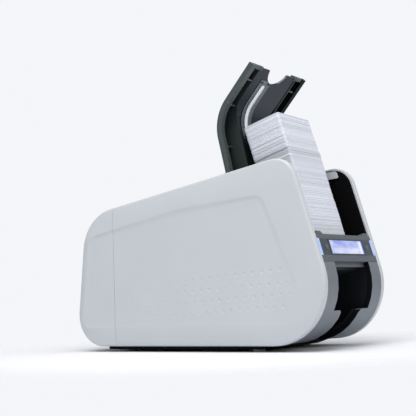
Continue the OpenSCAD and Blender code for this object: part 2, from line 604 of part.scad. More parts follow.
// piles of loose cards: small lots shifted a little against each other
function jog(k, a) = a * sin(k * 137.5 + a * 40);
module pile(n, m, k0, z0) in_stack() for (k = [0:m - 1])
  translate([-card_l / 2 + jog(k + k0, 0.5), 0.3 + jog(k + k0 + 7, 0.28), z0 + k * n * card_t / m - (k > 0 ? e : 0)])
    cube([card_l, card_w - 0.6, n * card_t / m + (k > 0 ? e : 0)]);
module card_stack() color([0.93, 0.94, 0.97]) pile(n_low, 6, 0, 0);
module card_stack_top() color([0.93, 0.94, 0.97]) pile(n_high, 14, 6, n_low * card_t);

// ---------- rollers ----------
sx0 = -px1 + 0.2;
bx0 = px1 + 0.8;
bw = 3.6;
module pulley(p, x0, w) {
  rod(p, x0, x0 + w, pulley_r);
  rod(p, x0 - 0.6, x0, pulley_r + 1);
  rod(p, x0 + w, x0 + w + 0.6, pulley_r + 1);
}
module drive_shaft(p, n = 1) color([0.72, 0.73, 0.75]) union() {
  rod(p, sx0, bx0, shaft_r);
  // collars inside the plates
  both() rod(p, px0 - 3, px0 - 0.4, shaft_r + 1.5);
  pulley(p, bx0 + 0.6, bw);
  if (n > 1) rod(p, bx0 + 0.6 + bw, bx0 + 1.8 + bw + 2.4, pulley_r - 2);
}
module tyre(p, r, xs) color([0.16, 0.16, 0.17]) for (x = xs)
  difference() {
    rod(p, x[0], x[1], r);
    rod(p, x[0] - 1, x[1] + 1, shaft_r);
  }
module pinch(p, r, xs) color([0.6, 0.6, 0.62]) union() {
  rod(p, sx0, -sx0, 2);
  for (x = xs) rod(p, x[0], x[1], r);
}
pair_x = [[-36, -14], [14, 36]];
tyre_x = [[-35, -15], [15, 35]];
module pickup_shaft() color([0.72, 0.73, 0.75]) union() {
  rod(pick_p, sx0, bx0 + 5.4, shaft_r);
  both() rod(pick_p, px0 - 3, px0 - 0.4, shaft_r + 1.5);
  rod(pick_p, bx0 + 0.6 + bw + 1.2, bx0 + 1.8 + bw + 2.4, pulley_r - 2);
}
module pickup_tyre() tyre(pick_p, roll_r, tyre_x);
module feed_shaft() drive_shaft(feed_lo, 2);
module feed_tyre() tyre(feed_lo, roll_r, [[-44, 44]]);
module feed_pinch() pinch(feed_hi, pinch_r + 1.5, [[-44, 44]]);
module eject_shaft() drive_shaft(eject_lo);
module eject_tyre() tyre(eject_lo, roll_r, [[-38, -12], [12, 38]]);
module eject_pinch() pinch(eject_hi, pinch_r, [[-38, -12], [12, 38]]);
module platen_shaft() drive_shaft(platen_p);
module platen_tyre() tyre(platen_p, roll_r, [[-46, 46]]);
module cleaning_roller() color([0.2, 0.35, 0.6]) union() {
  rod(clean_p, sx0, -sx0, 2);
  rod(clean_p, -45, 45, 6);
}

// ---------- belts ----------
// outline of a belt round circles [y, z, r], in counter-clockwise order
function belt_ang(a, b) = let (d = [b[0] - a[0], b[1] - a[1]])
  atan2(d[1], d[0]) - 90 + asin((a[2] - b[2]) / norm(d));
function belt(q, g, n = 8) =
  [for (i = [0:len(q) - 1])
    let (p = q[(i + len(q) - 1) % len(q)], c = q[i], s = q[(i + 1) % len(q)],
         a0 = belt_ang(p, c), a1 = belt_ang(c, s), w = (a1 - a0 + 720) % 360)
    for (k = [0:n]) [c[0], c[1]] + (c[2] + g) * cdir(a0 + w * k / n)];
module belt_loop(q, x0, x1) color([0.05, 0.05, 0.05]) yz(x0, x1) difference() {
  polygon(belt(q, 1.2));
  polygon(belt(q, 0.15));
}
motor_r = 5;
module main_belt() belt_loop([[eject_lo[0], eject_lo[1], pulley_r], [motor_p[0], motor_p[1], motor_r],
  [platen_p[0], platen_p[1], pulley_r], [feed_lo[0], feed_lo[1], pulley_r]], bx0 + 0.9, bx0 + 0.3 + bw);
module pickup_belt() belt_loop([[pick_p[0], pick_p[1], pulley_r - 2], [feed_lo[0], feed_lo[1], pulley_r - 2]],
  bx0 + 0.6 + bw + 1.4, bx0 + 1.6 + bw + 2.4);
module motor() color([0.35, 0.35, 0.37]) difference() {
  union() {
    translate([px0 - 0.3 - 34, motor_p[0], motor_p[1]]) rotate([0, 90, 0]) cylinder(r = 18, h = 32);
    translate([px0 - 2.3, motor_p[0] - 21, motor_p[1] - 21]) cube([2, 42, 42]);
  }
  rod(motor_p, px0 - 6, px0 + 1, 3.4);
  for (k = [45:90:359]) rod(motor_p + 25 * cdir(k), px0 - 6, px0 + 1, 1.5);
}
module motor_pulley() color([0.8, 0.7, 0.4]) union() {
  rod(motor_p, px0 - 5.6, bx0 + 0.6 + bw + 0.6, 2);
  rod(motor_p, bx0 + 0.6, bx0 + 0.6 + bw, motor_r);
  rod(motor_p, bx0, bx0 + 0.6, motor_r + 1.6);
  rod(motor_p, bx0 + 0.6 + bw, bx0 + 1.2 + bw, motor_r + 1.6);
}

// ---------- card path ----------
module path_plate() color([0.62, 0.63, 0.65]) difference() {
  union() {
    block(-52, 52, eject_y + 24, 110, path_z - 2.2, path_z - 1.2);
    both() block(52 - e, px0 - gap, eject_y + 24, 110, path_z - 2.2, path_z + 4);
  }
  for (p = [feed_lo, platen_p]) block(-49, 49, p[0] - roll_r - 1.5, p[0] + roll_r + 1.5, 60, 120);
  for (p = [feed_lo, platen_p]) block(-80, 80, p[0] - shaft_r - 2, p[0] + shaft_r + 2, 60, p[1] + 6);
  rod(clean_p, -80, 80, 7.2);
}

// ---------- print head ----------
head_y = platen_y;
head_b = path_z + card_t + 0.6;
guide_d = 17;
guide_z = path_z + 8;
module print_head() color([0.55, 0.5, 0.42]) union() {
  block(-47, 47, head_y - 9, head_y + 9, head_b + 3, head_b + 7);
  // heating edge over the platen
  yz(-44, 44) polygon([[head_y - 4, head_b + 3 + e], [head_y - 1, head_b + 0.3], [head_y + 1, head_b + 0.3], [head_y + 4, head_b + 3 + e]]);
}
module heat_sink() color([0.75, 0.76, 0.78]) union() {
  block(-45, 45, head_y - 9, head_y + 9, head_b + 7, head_b + 11);
  for (k = [-10:10]) block(k * 4.2 - 0.8, k * 4.2 + 0.8, head_y - 9, head_y + 9, head_b + 11 - e, head_b + 30);
}
beam_z = head_b + 30;
module head_frame() color([0.5, 0.51, 0.53]) union() {
  block(-62, 62, head_y - 11, head_y + 11, beam_z, beam_z + 3);
  both() block(59.5, 62, head_y - 11, head_p[0] + 6, head_p[1] - 6, head_p[1] + 6);
  both() block(59.5, 62, head_y - 11, head_y + 11, beam_z, head_p[1] + 6);
  both() rod(head_p, 62 - e, px1 - 0.3, pin_r);
  both() rod(head_p, 56, 62, 6);
  // tie bar at the pivot
  rod([head_p[0] - 8, head_p[1]], -60, 60, 2.5);
}

// ---------- ribbon ----------
module spool(p, r, c) union() {
  color([0.85, 0.85, 0.86]) rod(p, -50, 50, 5);
  color([0.85, 0.85, 0.86]) both() rod(p, 48.6, 50, 10);
  color(c) rod(p, -46, 46, r);
  both() rod(p, 50 - e, 54.8, 3);
}
module supply_spool() spool(supply_p, 15, [0.1, 0.25, 0.5]);
module takeup_spool() spool(takeup_p, 10, [0.12, 0.12, 0.14]);
module ribbon_frame() color([0.9, 0.9, 0.92]) difference() {
  union() {
    both() yz(51.2, 54.6) union() {
      translate(supply_p) circle(r = 19);
      translate(takeup_p) circle(r = 15);
      translate([takeup_p[0], guide_z + 4]) square([supply_p[0] - takeup_p[0], 7]);
      for (m = [-1, 1]) translate([head_y + m * guide_d, guide_z]) circle(r = 3);
      for (m = [-1, 1]) translate([head_y + m * guide_d - 3, guide_z]) square([6, 6]);
    }
    // rods that lead the film under the head
    for (m = [-1, 1]) rod([head_y + m * guide_d, guide_z], -52, 52, 2);
    // cross bars in front of and behind the spools
    rod([supply_p[0] + 15, supply_p[1] + 11], -52, 52, 2.6);
    rod([takeup_p[0] - 11, takeup_p[1] + 8], -52, 52, 2.6);
    rod([takeup_p[0] - 11, takeup_p[1] - 8], -52, 52, 2.6);
    // feet of the cartridge on the path plate
    both() for (y = [takeup_p[0], supply_p[0]]) block(51.2, 54.6, y - 4, y + 4, path_z + 4.05 + 0.2, supply_p[1] - 8);
  }
  both() rod(supply_p, 50, 56, 3 + fit);
  both() rod(takeup_p, 50, 56, 3 + fit);
}
film_t = 0.3;
module ribbon_film() color([0.1, 0.1, 0.3, 0.8]) yz(-45, 45) for (m = [-1, 1]) {
  c = m > 0 ? supply_p : takeup_p;
  r = m > 0 ? 15.3 : 10.3;
  g = head_y + m * guide_d;
  polygon([[head_y, head_b - film_t], [head_y + m * 3, head_b - film_t], [g, guide_z - 2.6], [g + m * 2.3, guide_z - 2],
    [g + m * 2.6, guide_z], [c[0] - m * (r - 0.3), c[1]], [c[0] - m * r, c[1]], [g + m * 2.3, guide_z],
    [g + m * 2, guide_z - 1.8], [g, guide_z - 2.3], [head_y + m * 3, head_b], [head_y, head_b]]);
}

// ---------- electronics ----------
module mainboard() color([0.1, 0.35, 0.2]) union() {
  block(-57, 20, -60, 140, 18, 19.6);
  for (q = [[-40, -20, 26, 26, 3], [-40, 60, 18, 18, 3], [0, 20, 12, 20, 8], [-20, 110, 30, 10, 9]])
    block(q[0] - q[2] / 2, q[0] + q[2] / 2, q[1] - q[3] / 2, q[1] + q[3] / 2, 19.6 - e, 19.6 + q[4]);
  for (x = [-52, 14]) for (y = [-52, 132]) translate([x, y, tray_z1]) cylinder(r = 3, h = 6 + e);
}

side_panel_left();
side_panel_right();
rear_panel_left();
rear_panel_right();
chassis_left();
chassis_right();
base_tray();
feet();
rear_cover();
hopper_cover();
cover_window();
top_cover();
lcd_bezel();
lcd_screen();
lcd_board();
led_left();
led_right();
button_left();
button_right();
bay_frame();
bay_liner();
exit_guide();
hopper_floor();
hopper_back();
card_guides();
rest_pads();
card_stack();
card_stack_top();
pickup_shaft();
pickup_tyre();
feed_shaft();
feed_tyre();
feed_pinch();
eject_shaft();
eject_tyre();
eject_pinch();
platen_shaft();
platen_tyre();
cleaning_roller();
path_plate();
head_frame();
print_head();
heat_sink();
ribbon_frame();
supply_spool();
takeup_spool();
ribbon_film();
motor();
motor_pulley();
main_belt();
pickup_belt();
mainboard();
power_jack();
power_switch();
usb_port();
lan_port();
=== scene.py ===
import json
import math
import random

import bmesh
import bpy
from mathutils import Matrix, Vector


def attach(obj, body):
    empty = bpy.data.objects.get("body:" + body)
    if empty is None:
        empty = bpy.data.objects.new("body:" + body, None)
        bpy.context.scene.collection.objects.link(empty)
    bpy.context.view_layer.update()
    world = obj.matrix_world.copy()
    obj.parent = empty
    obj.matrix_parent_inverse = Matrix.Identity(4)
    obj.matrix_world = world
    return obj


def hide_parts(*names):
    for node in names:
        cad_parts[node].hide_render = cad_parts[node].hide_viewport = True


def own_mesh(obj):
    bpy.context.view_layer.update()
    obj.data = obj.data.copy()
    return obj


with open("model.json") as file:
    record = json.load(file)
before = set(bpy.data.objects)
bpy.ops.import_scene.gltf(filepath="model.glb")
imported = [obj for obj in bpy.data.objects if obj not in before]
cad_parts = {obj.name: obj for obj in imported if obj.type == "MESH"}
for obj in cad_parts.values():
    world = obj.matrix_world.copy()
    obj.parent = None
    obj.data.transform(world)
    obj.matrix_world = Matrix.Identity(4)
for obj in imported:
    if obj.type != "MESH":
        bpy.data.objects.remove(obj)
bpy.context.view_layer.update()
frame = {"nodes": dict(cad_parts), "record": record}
MM = 0.001

# ---------------------------------------------------------------- camera
# The camera stands low, in front of the left side panel, and looks up a little.
YAW, PITCH, ROLL = (math.radians(a) for a in (55.474, 4.833, -2.180))
CAMERA_AT = (-1111.93, -739.19, 77.46)
SENSOR, LENS = 36, 84.94
forward = Vector((math.sin(YAW) * math.cos(PITCH), math.cos(YAW) * math.cos(PITCH), math.sin(PITCH)))
level = Vector((math.cos(YAW), -math.sin(YAW), 0))
rise = level.cross(forward)
across = level * math.cos(ROLL) + rise * math.sin(ROLL)
upward = rise * math.cos(ROLL) - level * math.sin(ROLL)
camera = bpy.data.objects.new("camera", bpy.data.cameras.new("camera"))
camera.data.sensor_width = SENSOR
camera.data.lens = LENS
camera.matrix_world = Matrix.Translation(Vector(CAMERA_AT) * MM) @ Matrix(
    (across, upward, -forward)).transposed().to_4x4()
bpy.context.scene.collection.objects.link(camera)
bpy.context.scene.camera = camera
bpy.context.scene.view_settings.view_transform = "Standard"


# ---------------------------------------------------------------- materials
FINISHES = {}


def tone(code):
    """An sRGB hex value as linear colour."""
    parts = [int(code[i:i + 2], 16) / 255 for i in (0, 2, 4)]
    return tuple(c / 12.92 if c <= 0.04045 else ((c + 0.055) / 1.055) ** 2.4 for c in parts) + (1,)


def add(tree, kind, inputs=(), **settings):
    """Adds one node with its settings; an input takes a value or another node's output."""
    made = tree.nodes.new(kind)
    for name, value in settings.items():
        setattr(made, name, value)
    for name, value in dict(inputs).items():
        if isinstance(value, bpy.types.NodeSocket):
            tree.links.new(value, made.inputs[name])
        else:
            made.inputs[name].default_value = value
    return made


def blank(name):
    """Starts a finish and returns its empty node tree."""
    made = bpy.data.materials.new(name)
    made.use_nodes = True
    made.node_tree.nodes.clear()
    FINISHES[name] = made
    return made.node_tree


def surface(name, low, high, rough, grain, relief, spread=60, swing=0.06,
            stretch=(1, 1, 1), streak=0.0, specular=0.5, **shader):
    """A moulded, rubber, metal or card surface.

    low and high are the two tones it drifts between over spread mm; grain is the size of its
    texture in mm and relief its height in mm; stretch draws the texture out, as brushing does,
    and streak is the share of that texture in the colour. Roughness swings by swing.
    """
    tree = blank(name)
    place = add(tree, "ShaderNodeTexCoord").outputs["Object"]
    drawn = add(tree, "ShaderNodeMapping", {"Vector": place, "Scale": stretch}).outputs[0]
    drift = add(tree, "ShaderNodeTexNoise", {
        "Vector": place, "Scale": 1 / (spread * MM), "Detail": 2}).outputs[0]
    fine = add(tree, "ShaderNodeTexNoise", {
        "Vector": drawn, "Scale": 1 / (grain * MM), "Detail": 3}).outputs[0]
    cloud = add(tree, "ShaderNodeMix", {0: streak, 2: drift, 3: fine}).outputs[0]
    mixed = add(tree, "ShaderNodeMix", {0: cloud, 6: tone(low), 7: tone(high)}, data_type="RGBA")
    worn = add(tree, "ShaderNodeMapRange", {
        "Value": fine, "To Min": rough - swing, "To Max": rough + swing})
    bump = add(tree, "ShaderNodeBump", {"Height": fine, "Strength": 1.0, "Distance": relief * MM})
    gloss = add(tree, "ShaderNodeBsdfPrincipled", {
        "Base Color": mixed.outputs[2], "Roughness": worn.outputs[0], "Normal": bump.outputs[0],
        "Specular IOR Level": specular, **shader})
    add(tree, "ShaderNodeOutputMaterial", {"Surface": gloss.outputs[0]})


# Mould texture on such housings is 0.2 to 0.5 mm, under the size of a pixel here, so it is drawn
# at 1.2 to 2 mm, which still gives the broken highlight of a textured mould. Marks of grinding,
# turning and winding, finer still, are drawn at 0.7 to 0.9 mm. Polished faces only ripple a little,
# over 2 to 4 mm.

# injection-moulded ABS, satin white: soft wide highlight, slightly cool
surface("abs_satin_white", "BFC2C5", "C5C8CA", 0.33, 1.6, 0.002, IOR=1.53)
# injection-moulded ABS, black, spark-textured mould, dull with nearly no highlight: the base, the
# hopper and the walls of the output bay's opening
surface("abs_textured_black", "07080A", "0B0C0F", 0.70, 1.2, 0.02, specular=0.15, IOR=1.5)
# ABS in a mid grey, the mould's flow leaves faint upright streaks: the front frame
surface("abs_satin_grey", "575C62", "7D8389", 0.40, 1.4, 0.012, 60, 0.06, (1, 0.05, 0.05), 0.75,
    IOR=1.53)
# nearly black ABS, spark-textured, a little lighter than the base: walls of the output bay
surface("abs_bay_black", "101317", "181C21", 0.55, 1.2, 0.015, specular=0.3, IOR=1.5)
# black ABS from a blasted mould, matt; drawn darker and with less highlight than the plastic has,
# as painted shade of the deep inside: the inner side walls
surface("abs_black_painted_shade", "030304", "060607", 0.80, 1.2, 0.02, specular=0.08, IOR=1.5)
# ABS, dark grey, satin: the card exit
surface("abs_exit_grey", "15181B", "22262A", 0.42, 1.2, 0.010, 30, IOR=1.5)
# smoked polycarbonate, polished: the band between the two light bars
surface("polycarbonate_smoked", "262C33", "464E57", 0.16, 3.0, 0.006, 12, 0.05, (1, 0.15, 0.15),
    0.8, IOR=1.58)
# ABS, dark grey, satin: the lid, the rear cover and the head's frame
surface("abs_satin_dark_grey", "44484C", "4E5256", 0.45, 1.4, 0.012, IOR=1.53)
# ABS, dark grey with a slight green, polished mould: the hopper cover shows clear reflections
surface("abs_polished_slate", "3F4646", "474F4E", 0.26, 3.0, 0.004, 40, 0.04, IOR=1.53)
# its middle panel, polished further: clear reflections, and drawn darker than the rest of the
# cover, as it looks in its own shade
surface("abs_polished_panel", "121A21", "1A222A", 0.16, 4.0, 0.002, 50, 0.03, specular=0.33, IOR=1.5)
# its channels and far rim, rough from the mould, nearly black: drawn as dark as they look in shade
surface("abs_rough_slate", "0B0D0D", "101312", 0.60, 1.2, 0.02, specular=0.2, IOR=1.5)
# the wall of its near rail and the foot of its middle panel, matt, drawn as they look in shade
surface("abs_matt_slate", "222A29", "2C3432", 0.50, 1.6, 0.012, 30, specular=0.3, IOR=1.5)
# frosted polycarbonate, scatters the light: the frame of the level window, and its sides
surface("polycarbonate_frosted", "42464D", "767A82", 0.28, 2.5, 0.010, 7, 0.10, IOR=1.58)
# moulded rubber of the feet, dull light grey
surface("rubber_grey", "A6AAAE", "B2B5B9", 0.72, 1.0, 0.02, IOR=1.5)
# the same ABS in a darker batch, streaked along the bar: the display bar and its buttons
surface("abs_bar_grey", "474C51", "5F646A", 0.38, 1.4, 0.010, 60, 0.06, (0.05, 1, 1), 0.7, IOR=1.53)
# silicone rubber tyres on the rollers, ground dull
surface("rubber_black_ground", "1B1C1E", "242528", 0.78, 0.8, 0.03, IOR=1.5)
# tacky silicone of the cleaning roller, smooth and blue
surface("silicone_blue", "1F4E8C", "2A5C9B", 0.30, 2.0, 0.004, IOR=1.42)
# light grey ABS, satin: the small rest pads
surface("abs_light_grey", "B7BBC0", "C1C5CA", 0.40, 1.2, 0.008, IOR=1.53)
# PVC card, gloss laminate on white core: the edges are matt and a little blue
surface("pvc_card_white", "DEE2EE", "E8EBF4", 0.34, 2.0, 0.003, IOR=1.54)
# ground steel shafts, fine turning marks round them
surface("steel_ground", "A9ADB2", "B9BDC2", 0.26, 0.8, 0.004, 30, 0.08, (8, 1, 1), Metallic=1.0)
# zinc-plated sheet steel, faintly clouded
surface("steel_sheet_zinc", "9DA2A6", "B4B8BA", 0.34, 2.5, 0.004, 18, 0.10, Metallic=1.0)
# alumina ceramic with a glaze, the bar of the print head
surface("ceramic_glazed", "C9BFA6", "D5CCB6", 0.18, 1.0, 0.002, IOR=1.6)
# extruded aluminium, drawn along the fins
surface("aluminium_extruded", "B9BDC2", "C9CCD0", 0.30, 0.9, 0.006, 25, 0.08, (1, 6, 1),
    Metallic=1.0)
# natural polystyrene of the ribbon cassette, slightly milky
surface("polystyrene_milky", "D6D8DA", "E2E4E6", 0.30, 2.0, 0.004, IOR=1.59)
# dye film wound in many turns, glossy deep blue
surface("dye_film_blue", "12264F", "1B3567", 0.22, 0.7, 0.006, 12, 0.06, (6, 1, 1), IOR=1.5)
# used dye film, nearly black
surface("dye_film_dark", "15151D", "201F2A", 0.24, 0.7, 0.006, 12, 0.06, (6, 1, 1), IOR=1.5)
# turned brass of the motor's pulley
surface("brass_turned", "B8954E", "C6A561", 0.28, 0.7, 0.004, 20, 0.08, (8, 1, 1), Metallic=1.0)
# neoprene timing belt
surface("neoprene_belt", "131314", "1C1C1E", 0.70, 1.0, 0.03, IOR=1.5)
# epoxy circuit board under green solder mask
surface("circuit_board_green", "12432C", "185236", 0.32, 1.5, 0.01, 12, 0.08, IOR=1.55)
# tinned sheet metal of the sockets
surface("tin_plated_shell", "A6A9AC", "B6B9BB", 0.30, 1.2, 0.004, 10, 0.08, Metallic=1.0)


def clear_window():
    """Clear polycarbonate, injection moulded and polished: sharp white reflections, little tint."""
    tree = blank("polycarbonate_clear")
    place = add(tree, "ShaderNodeTexCoord").outputs["Object"]
    sink = add(tree, "ShaderNodeTexNoise", {"Vector": place, "Scale": 1 / (9 * MM)}).outputs[0]
    bump = add(tree, "ShaderNodeBump", {"Height": sink, "Distance": 0.05 * MM})
    gloss = add(tree, "ShaderNodeBsdfPrincipled", {
        "Base Color": tone("F1F4F8"), "Roughness": 0.08, "IOR": 1.58, "Transmission Weight": 0.85,
        "Normal": bump.outputs[0]})
    add(tree, "ShaderNodeOutputMaterial", {"Surface": gloss.outputs[0]})


def lit_panel(name, low, high, strength, cloud, pitch, lean, ends):
    """A lit face behind clear plastic.

    Two tones in soft clouds of cloud mm drawn out along x, and fine rows of that pitch in mm leaning
    by lean. ends lists where it turns into another tone: from x, to x, both in mm, and the tone.
    """
    tree = blank(name)
    place = add(tree, "ShaderNodeTexCoord").outputs["Object"]
    drawn = add(tree, "ShaderNodeMapping", {"Vector": place, "Scale": (0.35, 1, 1)}).outputs[0]
    cloudy = add(tree, "ShaderNodeTexNoise", {
        "Vector": drawn, "Scale": 1 / (cloud * MM), "Detail": 2}).outputs[0]
    eased = add(tree, "ShaderNodeMapRange", {"Value": cloudy, "From Min": 0.36, "From Max": 0.66})
    shade = add(tree, "ShaderNodeMix", {0: eased.outputs[0], 6: tone(low), 7: tone(high)},
                data_type="RGBA").outputs[2]
    across = add(tree, "ShaderNodeSeparateXYZ", {0: place}).outputs[0]
    for start, stop, code in ends:
        share = add(tree, "ShaderNodeMapRange", {
            "Value": across, "From Min": start * MM, "From Max": stop * MM})
        shade = add(tree, "ShaderNodeMix", {0: share.outputs[0], 6: shade, 7: tone(code)},
                    data_type="RGBA").outputs[2]
    turned = add(tree, "ShaderNodeMapping", {"Vector": place, "Rotation": (0, lean, 0)}).outputs[0]
    rows = add(tree, "ShaderNodeTexWave", {"Vector": turned, "Scale": WAVE_PER_PITCH / (pitch * MM)},
               bands_direction="Z").outputs[1]
    lined = add(tree, "ShaderNodeMapRange", {
        "Value": rows, "To Min": strength * BETWEEN_ROWS, "To Max": strength})
    gloss = add(tree, "ShaderNodeBsdfPrincipled", {
        "Base Color": tone("303850"), "Roughness": 0.12, "IOR": 1.5, "Emission Color": shade,
        "Emission Strength": lined.outputs[0]})
    add(tree, "ShaderNodeOutputMaterial", {"Surface": gloss.outputs[0]})


# a wave texture repeats every 0.314 / scale; between two rows the light is that much weaker
WAVE_PER_PITCH, BETWEEN_ROWS = 0.314, 0.88

clear_window()
# backlit liquid crystal display: a lavender and blue-white glow, bluer at its ends
lit_panel(
    "display_backlit", "98A4EC", "E6EAFF", 0.92, 15, 2.4, 0,
    ((-39, -44, "C8DCFF"), (33, 37, "F4F8FF"), (41, 42, "5C84F2")))
# light guides of the two status lights: diffusing acrylic over fine slanting prisms, pale blue
lit_panel("acrylic_lit_blue", "8FB2F6", "B9D2FD", 1.0, 6, 1.6, 0.6, ())

NODE_FINISH = {
    "abs_satin_white": ["side_panel_left", "side_panel_right", "rear_panel_left", "rear_panel_right"],
    "abs_black_painted_shade": ["chassis_left", "chassis_right"],
    "abs_bay_black": ["bay_liner"],
    "abs_textured_black": ["base_tray", "hopper_floor", "hopper_back", "card_guides",
                           "power_jack", "power_switch"],
    "rubber_grey": ["feet"],
    "abs_satin_dark_grey": ["rear_cover", "top_cover", "head_frame"],
    "abs_polished_slate": ["hopper_cover"],
    "polycarbonate_clear": ["cover_window"],
    "abs_bar_grey": ["lcd_bezel", "button_left", "button_right"],
    "abs_satin_grey": ["bay_frame"],
    "abs_exit_grey": ["exit_guide"],
    "display_backlit": ["lcd_screen"],
    "circuit_board_green": ["lcd_board", "mainboard"],
    "acrylic_lit_blue": ["led_left", "led_right"],
    "abs_light_grey": ["rest_pads"],
    "pvc_card_white": ["card_stack", "card_stack_top"],
    "steel_ground": ["pickup_shaft", "feed_shaft", "eject_shaft", "platen_shaft", "feed_pinch",
                     "eject_pinch"],
    "rubber_black_ground": ["pickup_tyre", "feed_tyre", "eject_tyre", "platen_tyre"],
    "silicone_blue": ["cleaning_roller"],
    "steel_sheet_zinc": ["path_plate", "motor"],
    "ceramic_glazed": ["print_head"],
    "aluminium_extruded": ["heat_sink"],
    "polystyrene_milky": ["ribbon_frame"],
    "dye_film_blue": ["supply_spool", "ribbon_film"],
    "dye_film_dark": ["takeup_spool"],
    "brass_turned": ["motor_pulley"],
    "neoprene_belt": ["main_belt", "pickup_belt"],
    "tin_plated_shell": ["usb_port", "lan_port"],
}
for finish_name, names in NODE_FINISH.items():
    for name in names:
        slots = frame["nodes"][name].data.materials
        if not slots:
            slots.append(FINISHES[finish_name])
        for i in range(len(slots)):
            slots[i] = FINISHES[finish_name]

BODY_OF = {n: body for body, names in frame["record"]["behaviour"]["bodies"].items() for n in names}


# ---------------------------------------------------------------- mesh helpers
def new_object(name, mesh, finish_name):
    """An object of that mesh in one finish."""
    made = bpy.data.objects.new(name, mesh)
    mesh.materials.clear()
    mesh.materials.append(FINISHES[finish_name])
    bpy.context.scene.collection.objects.link(made)
    return made


def smooth_faces(mesh, angle):
    """Smooth shading, with edges over that many degrees kept crisp."""
    bm = bmesh.new()
    bm.from_mesh(mesh)
    for face in bm.faces:
        face.smooth = True
    for edge in bm.edges:
        if len(edge.link_faces) == 2:
            edge.smooth = edge.calc_face_angle(0) < math.radians(angle)
    bm.to_mesh(mesh)
    bm.free()


def baked(made):
    """Applies an object's modifiers to its mesh."""
    result = bpy.data.meshes.new_from_object(made.evaluated_get(bpy.context.evaluated_depsgraph_get()))
    made.modifiers.clear()
    made.data = result


def carved(made, cutter, operation="DIFFERENCE"):
    """Cuts an object's mesh with another object's solids."""
    cut = made.modifiers.new("cut", "BOOLEAN")
    cut.operation, cut.solver, cut.object = operation, "EXACT", cutter
    baked(made)


def weighted(made):
    """Broad faces keep their own direction, the narrow ones beside them take up the turn."""
    made.modifiers.new("normals", "WEIGHTED_NORMAL").keep_sharp = True
    baked(made)


def seated(made, node):
    """Puts a finished piece in the frame in place of its CAD node."""
    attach(made, BODY_OF[node])
    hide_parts(node)


# points closer than this in mm are one, faces that differ by less than this angle are one
SAME_POINT, FLAT_ANGLE = 0.002, math.radians(0.6)


def refined(node, finish_name, edge, angle=22, inner=(), cuts=(), opening=None):
    """A CAD node's own shape with its edges broken by edge mm and its curves shaded smooth.

    inner lists (finish name, test): faces for which test(middle in mm, direction) holds take
    that finish, the first one that fits. cuts are planes (point in mm, direction) that its faces
    are split along for that, and opening is a solid that is taken out of it.
    """
    mesh = frame["nodes"][node].data.copy()
    mesh.name = node + "_moulding"
    bm = bmesh.new()
    bm.from_mesh(mesh)
    bmesh.ops.remove_doubles(bm, verts=bm.verts, dist=SAME_POINT * MM)
    bmesh.ops.dissolve_limit(bm, angle_limit=FLAT_ANGLE, verts=bm.verts, edges=bm.edges)
    for place, direction in cuts:
        bmesh.ops.bisect_plane(bm, geom=bm.verts[:] + bm.edges[:] + bm.faces[:], dist=1e-6,
                               plane_co=Vector(place) * MM, plane_no=direction)
    bm.to_mesh(mesh)
    bm.free()
    made = new_object(node + "_moulding", mesh, finish_name)
    if opening:
        carved(made, opening)
        bpy.data.objects.remove(opening)
    if edge:
        rounding = made.modifiers.new("edge", "BEVEL")
        rounding.width = edge * MM
        rounding.segments = 2
        rounding.limit_method = "ANGLE"
        rounding.angle_limit = math.radians(angle + 8)
        rounding.use_clamp_overlap = True
        baked(made)
    smooth_faces(made.data, angle)
    weighted(made)
    for finish, _ in inner:
        made.data.materials.append(FINISHES[finish])
    for face in made.data.polygons:
        middle, direction = face.center / MM, face.normal.copy()
        fits = [k for k, (_, test) in enumerate(inner) if test(middle, direction)]
        if fits:
            face.material_index = 1 + fits[0]
    seated(made, node)


def plain_mesh(name, points, faces):
    """A mesh from points in mm."""
    mesh = bpy.data.meshes.new(name)
    mesh.from_pydata([Vector(p) * MM for p in points], [], faces)
    mesh.update()
    return mesh


def geometry(name, **sockets):
    """A geometry group with one Geometry output and the named inputs."""
    tree = bpy.data.node_groups.new(name, "GeometryNodeTree")
    tree.interface.new_socket("Geometry", in_out="OUTPUT", socket_type="NodeSocketGeometry")
    tree.interface.new_socket("Geometry", in_out="INPUT", socket_type="NodeSocketGeometry")
    for label, kind in sockets.items():
        tree.interface.new_socket(label, in_out="INPUT", socket_type=kind)
    return tree, add(tree, "NodeGroupInput").outputs


def grown(name, mesh, tree, values):
    """Runs a geometry group on a mesh once and returns the plain mesh that comes out."""
    seed = bpy.data.objects.new(name, mesh)
    bpy.context.scene.collection.objects.link(seed)
    modifier = seed.modifiers.new("growth", "NODES")
    modifier.node_group = tree
    for item in tree.interface.items_tree:
        if item.in_out == "INPUT" and item.name in values:
            modifier[item.identifier] = values[item.name]
    made = bpy.data.meshes.new_from_object(seed.evaluated_get(bpy.context.evaluated_depsgraph_get()))
    bpy.data.objects.remove(seed)
    made.name = name
    return made


# ---------------------------------------------------------------- stage
# half the floor's side in m, and how far from the middle it runs out into the white backdrop
FLOOR_HALF, FADE_FROM, FADE_TO = 30, 0.21, 0.44
# name, place and target in m, power in W, side in m
LAMPS = (("lamp_top", (-0.6, -0.3, 1.9), (0, 0, 0.1), 27, 1.5),
         ("lamp_left", (-1.5, -0.2, 1.5), (0, 0, 0.1), 12, 1.2),
         ("lamp_front", (0.5, -1.9, 0.8), (0, -0.1, 0.15), 9, 1.0))


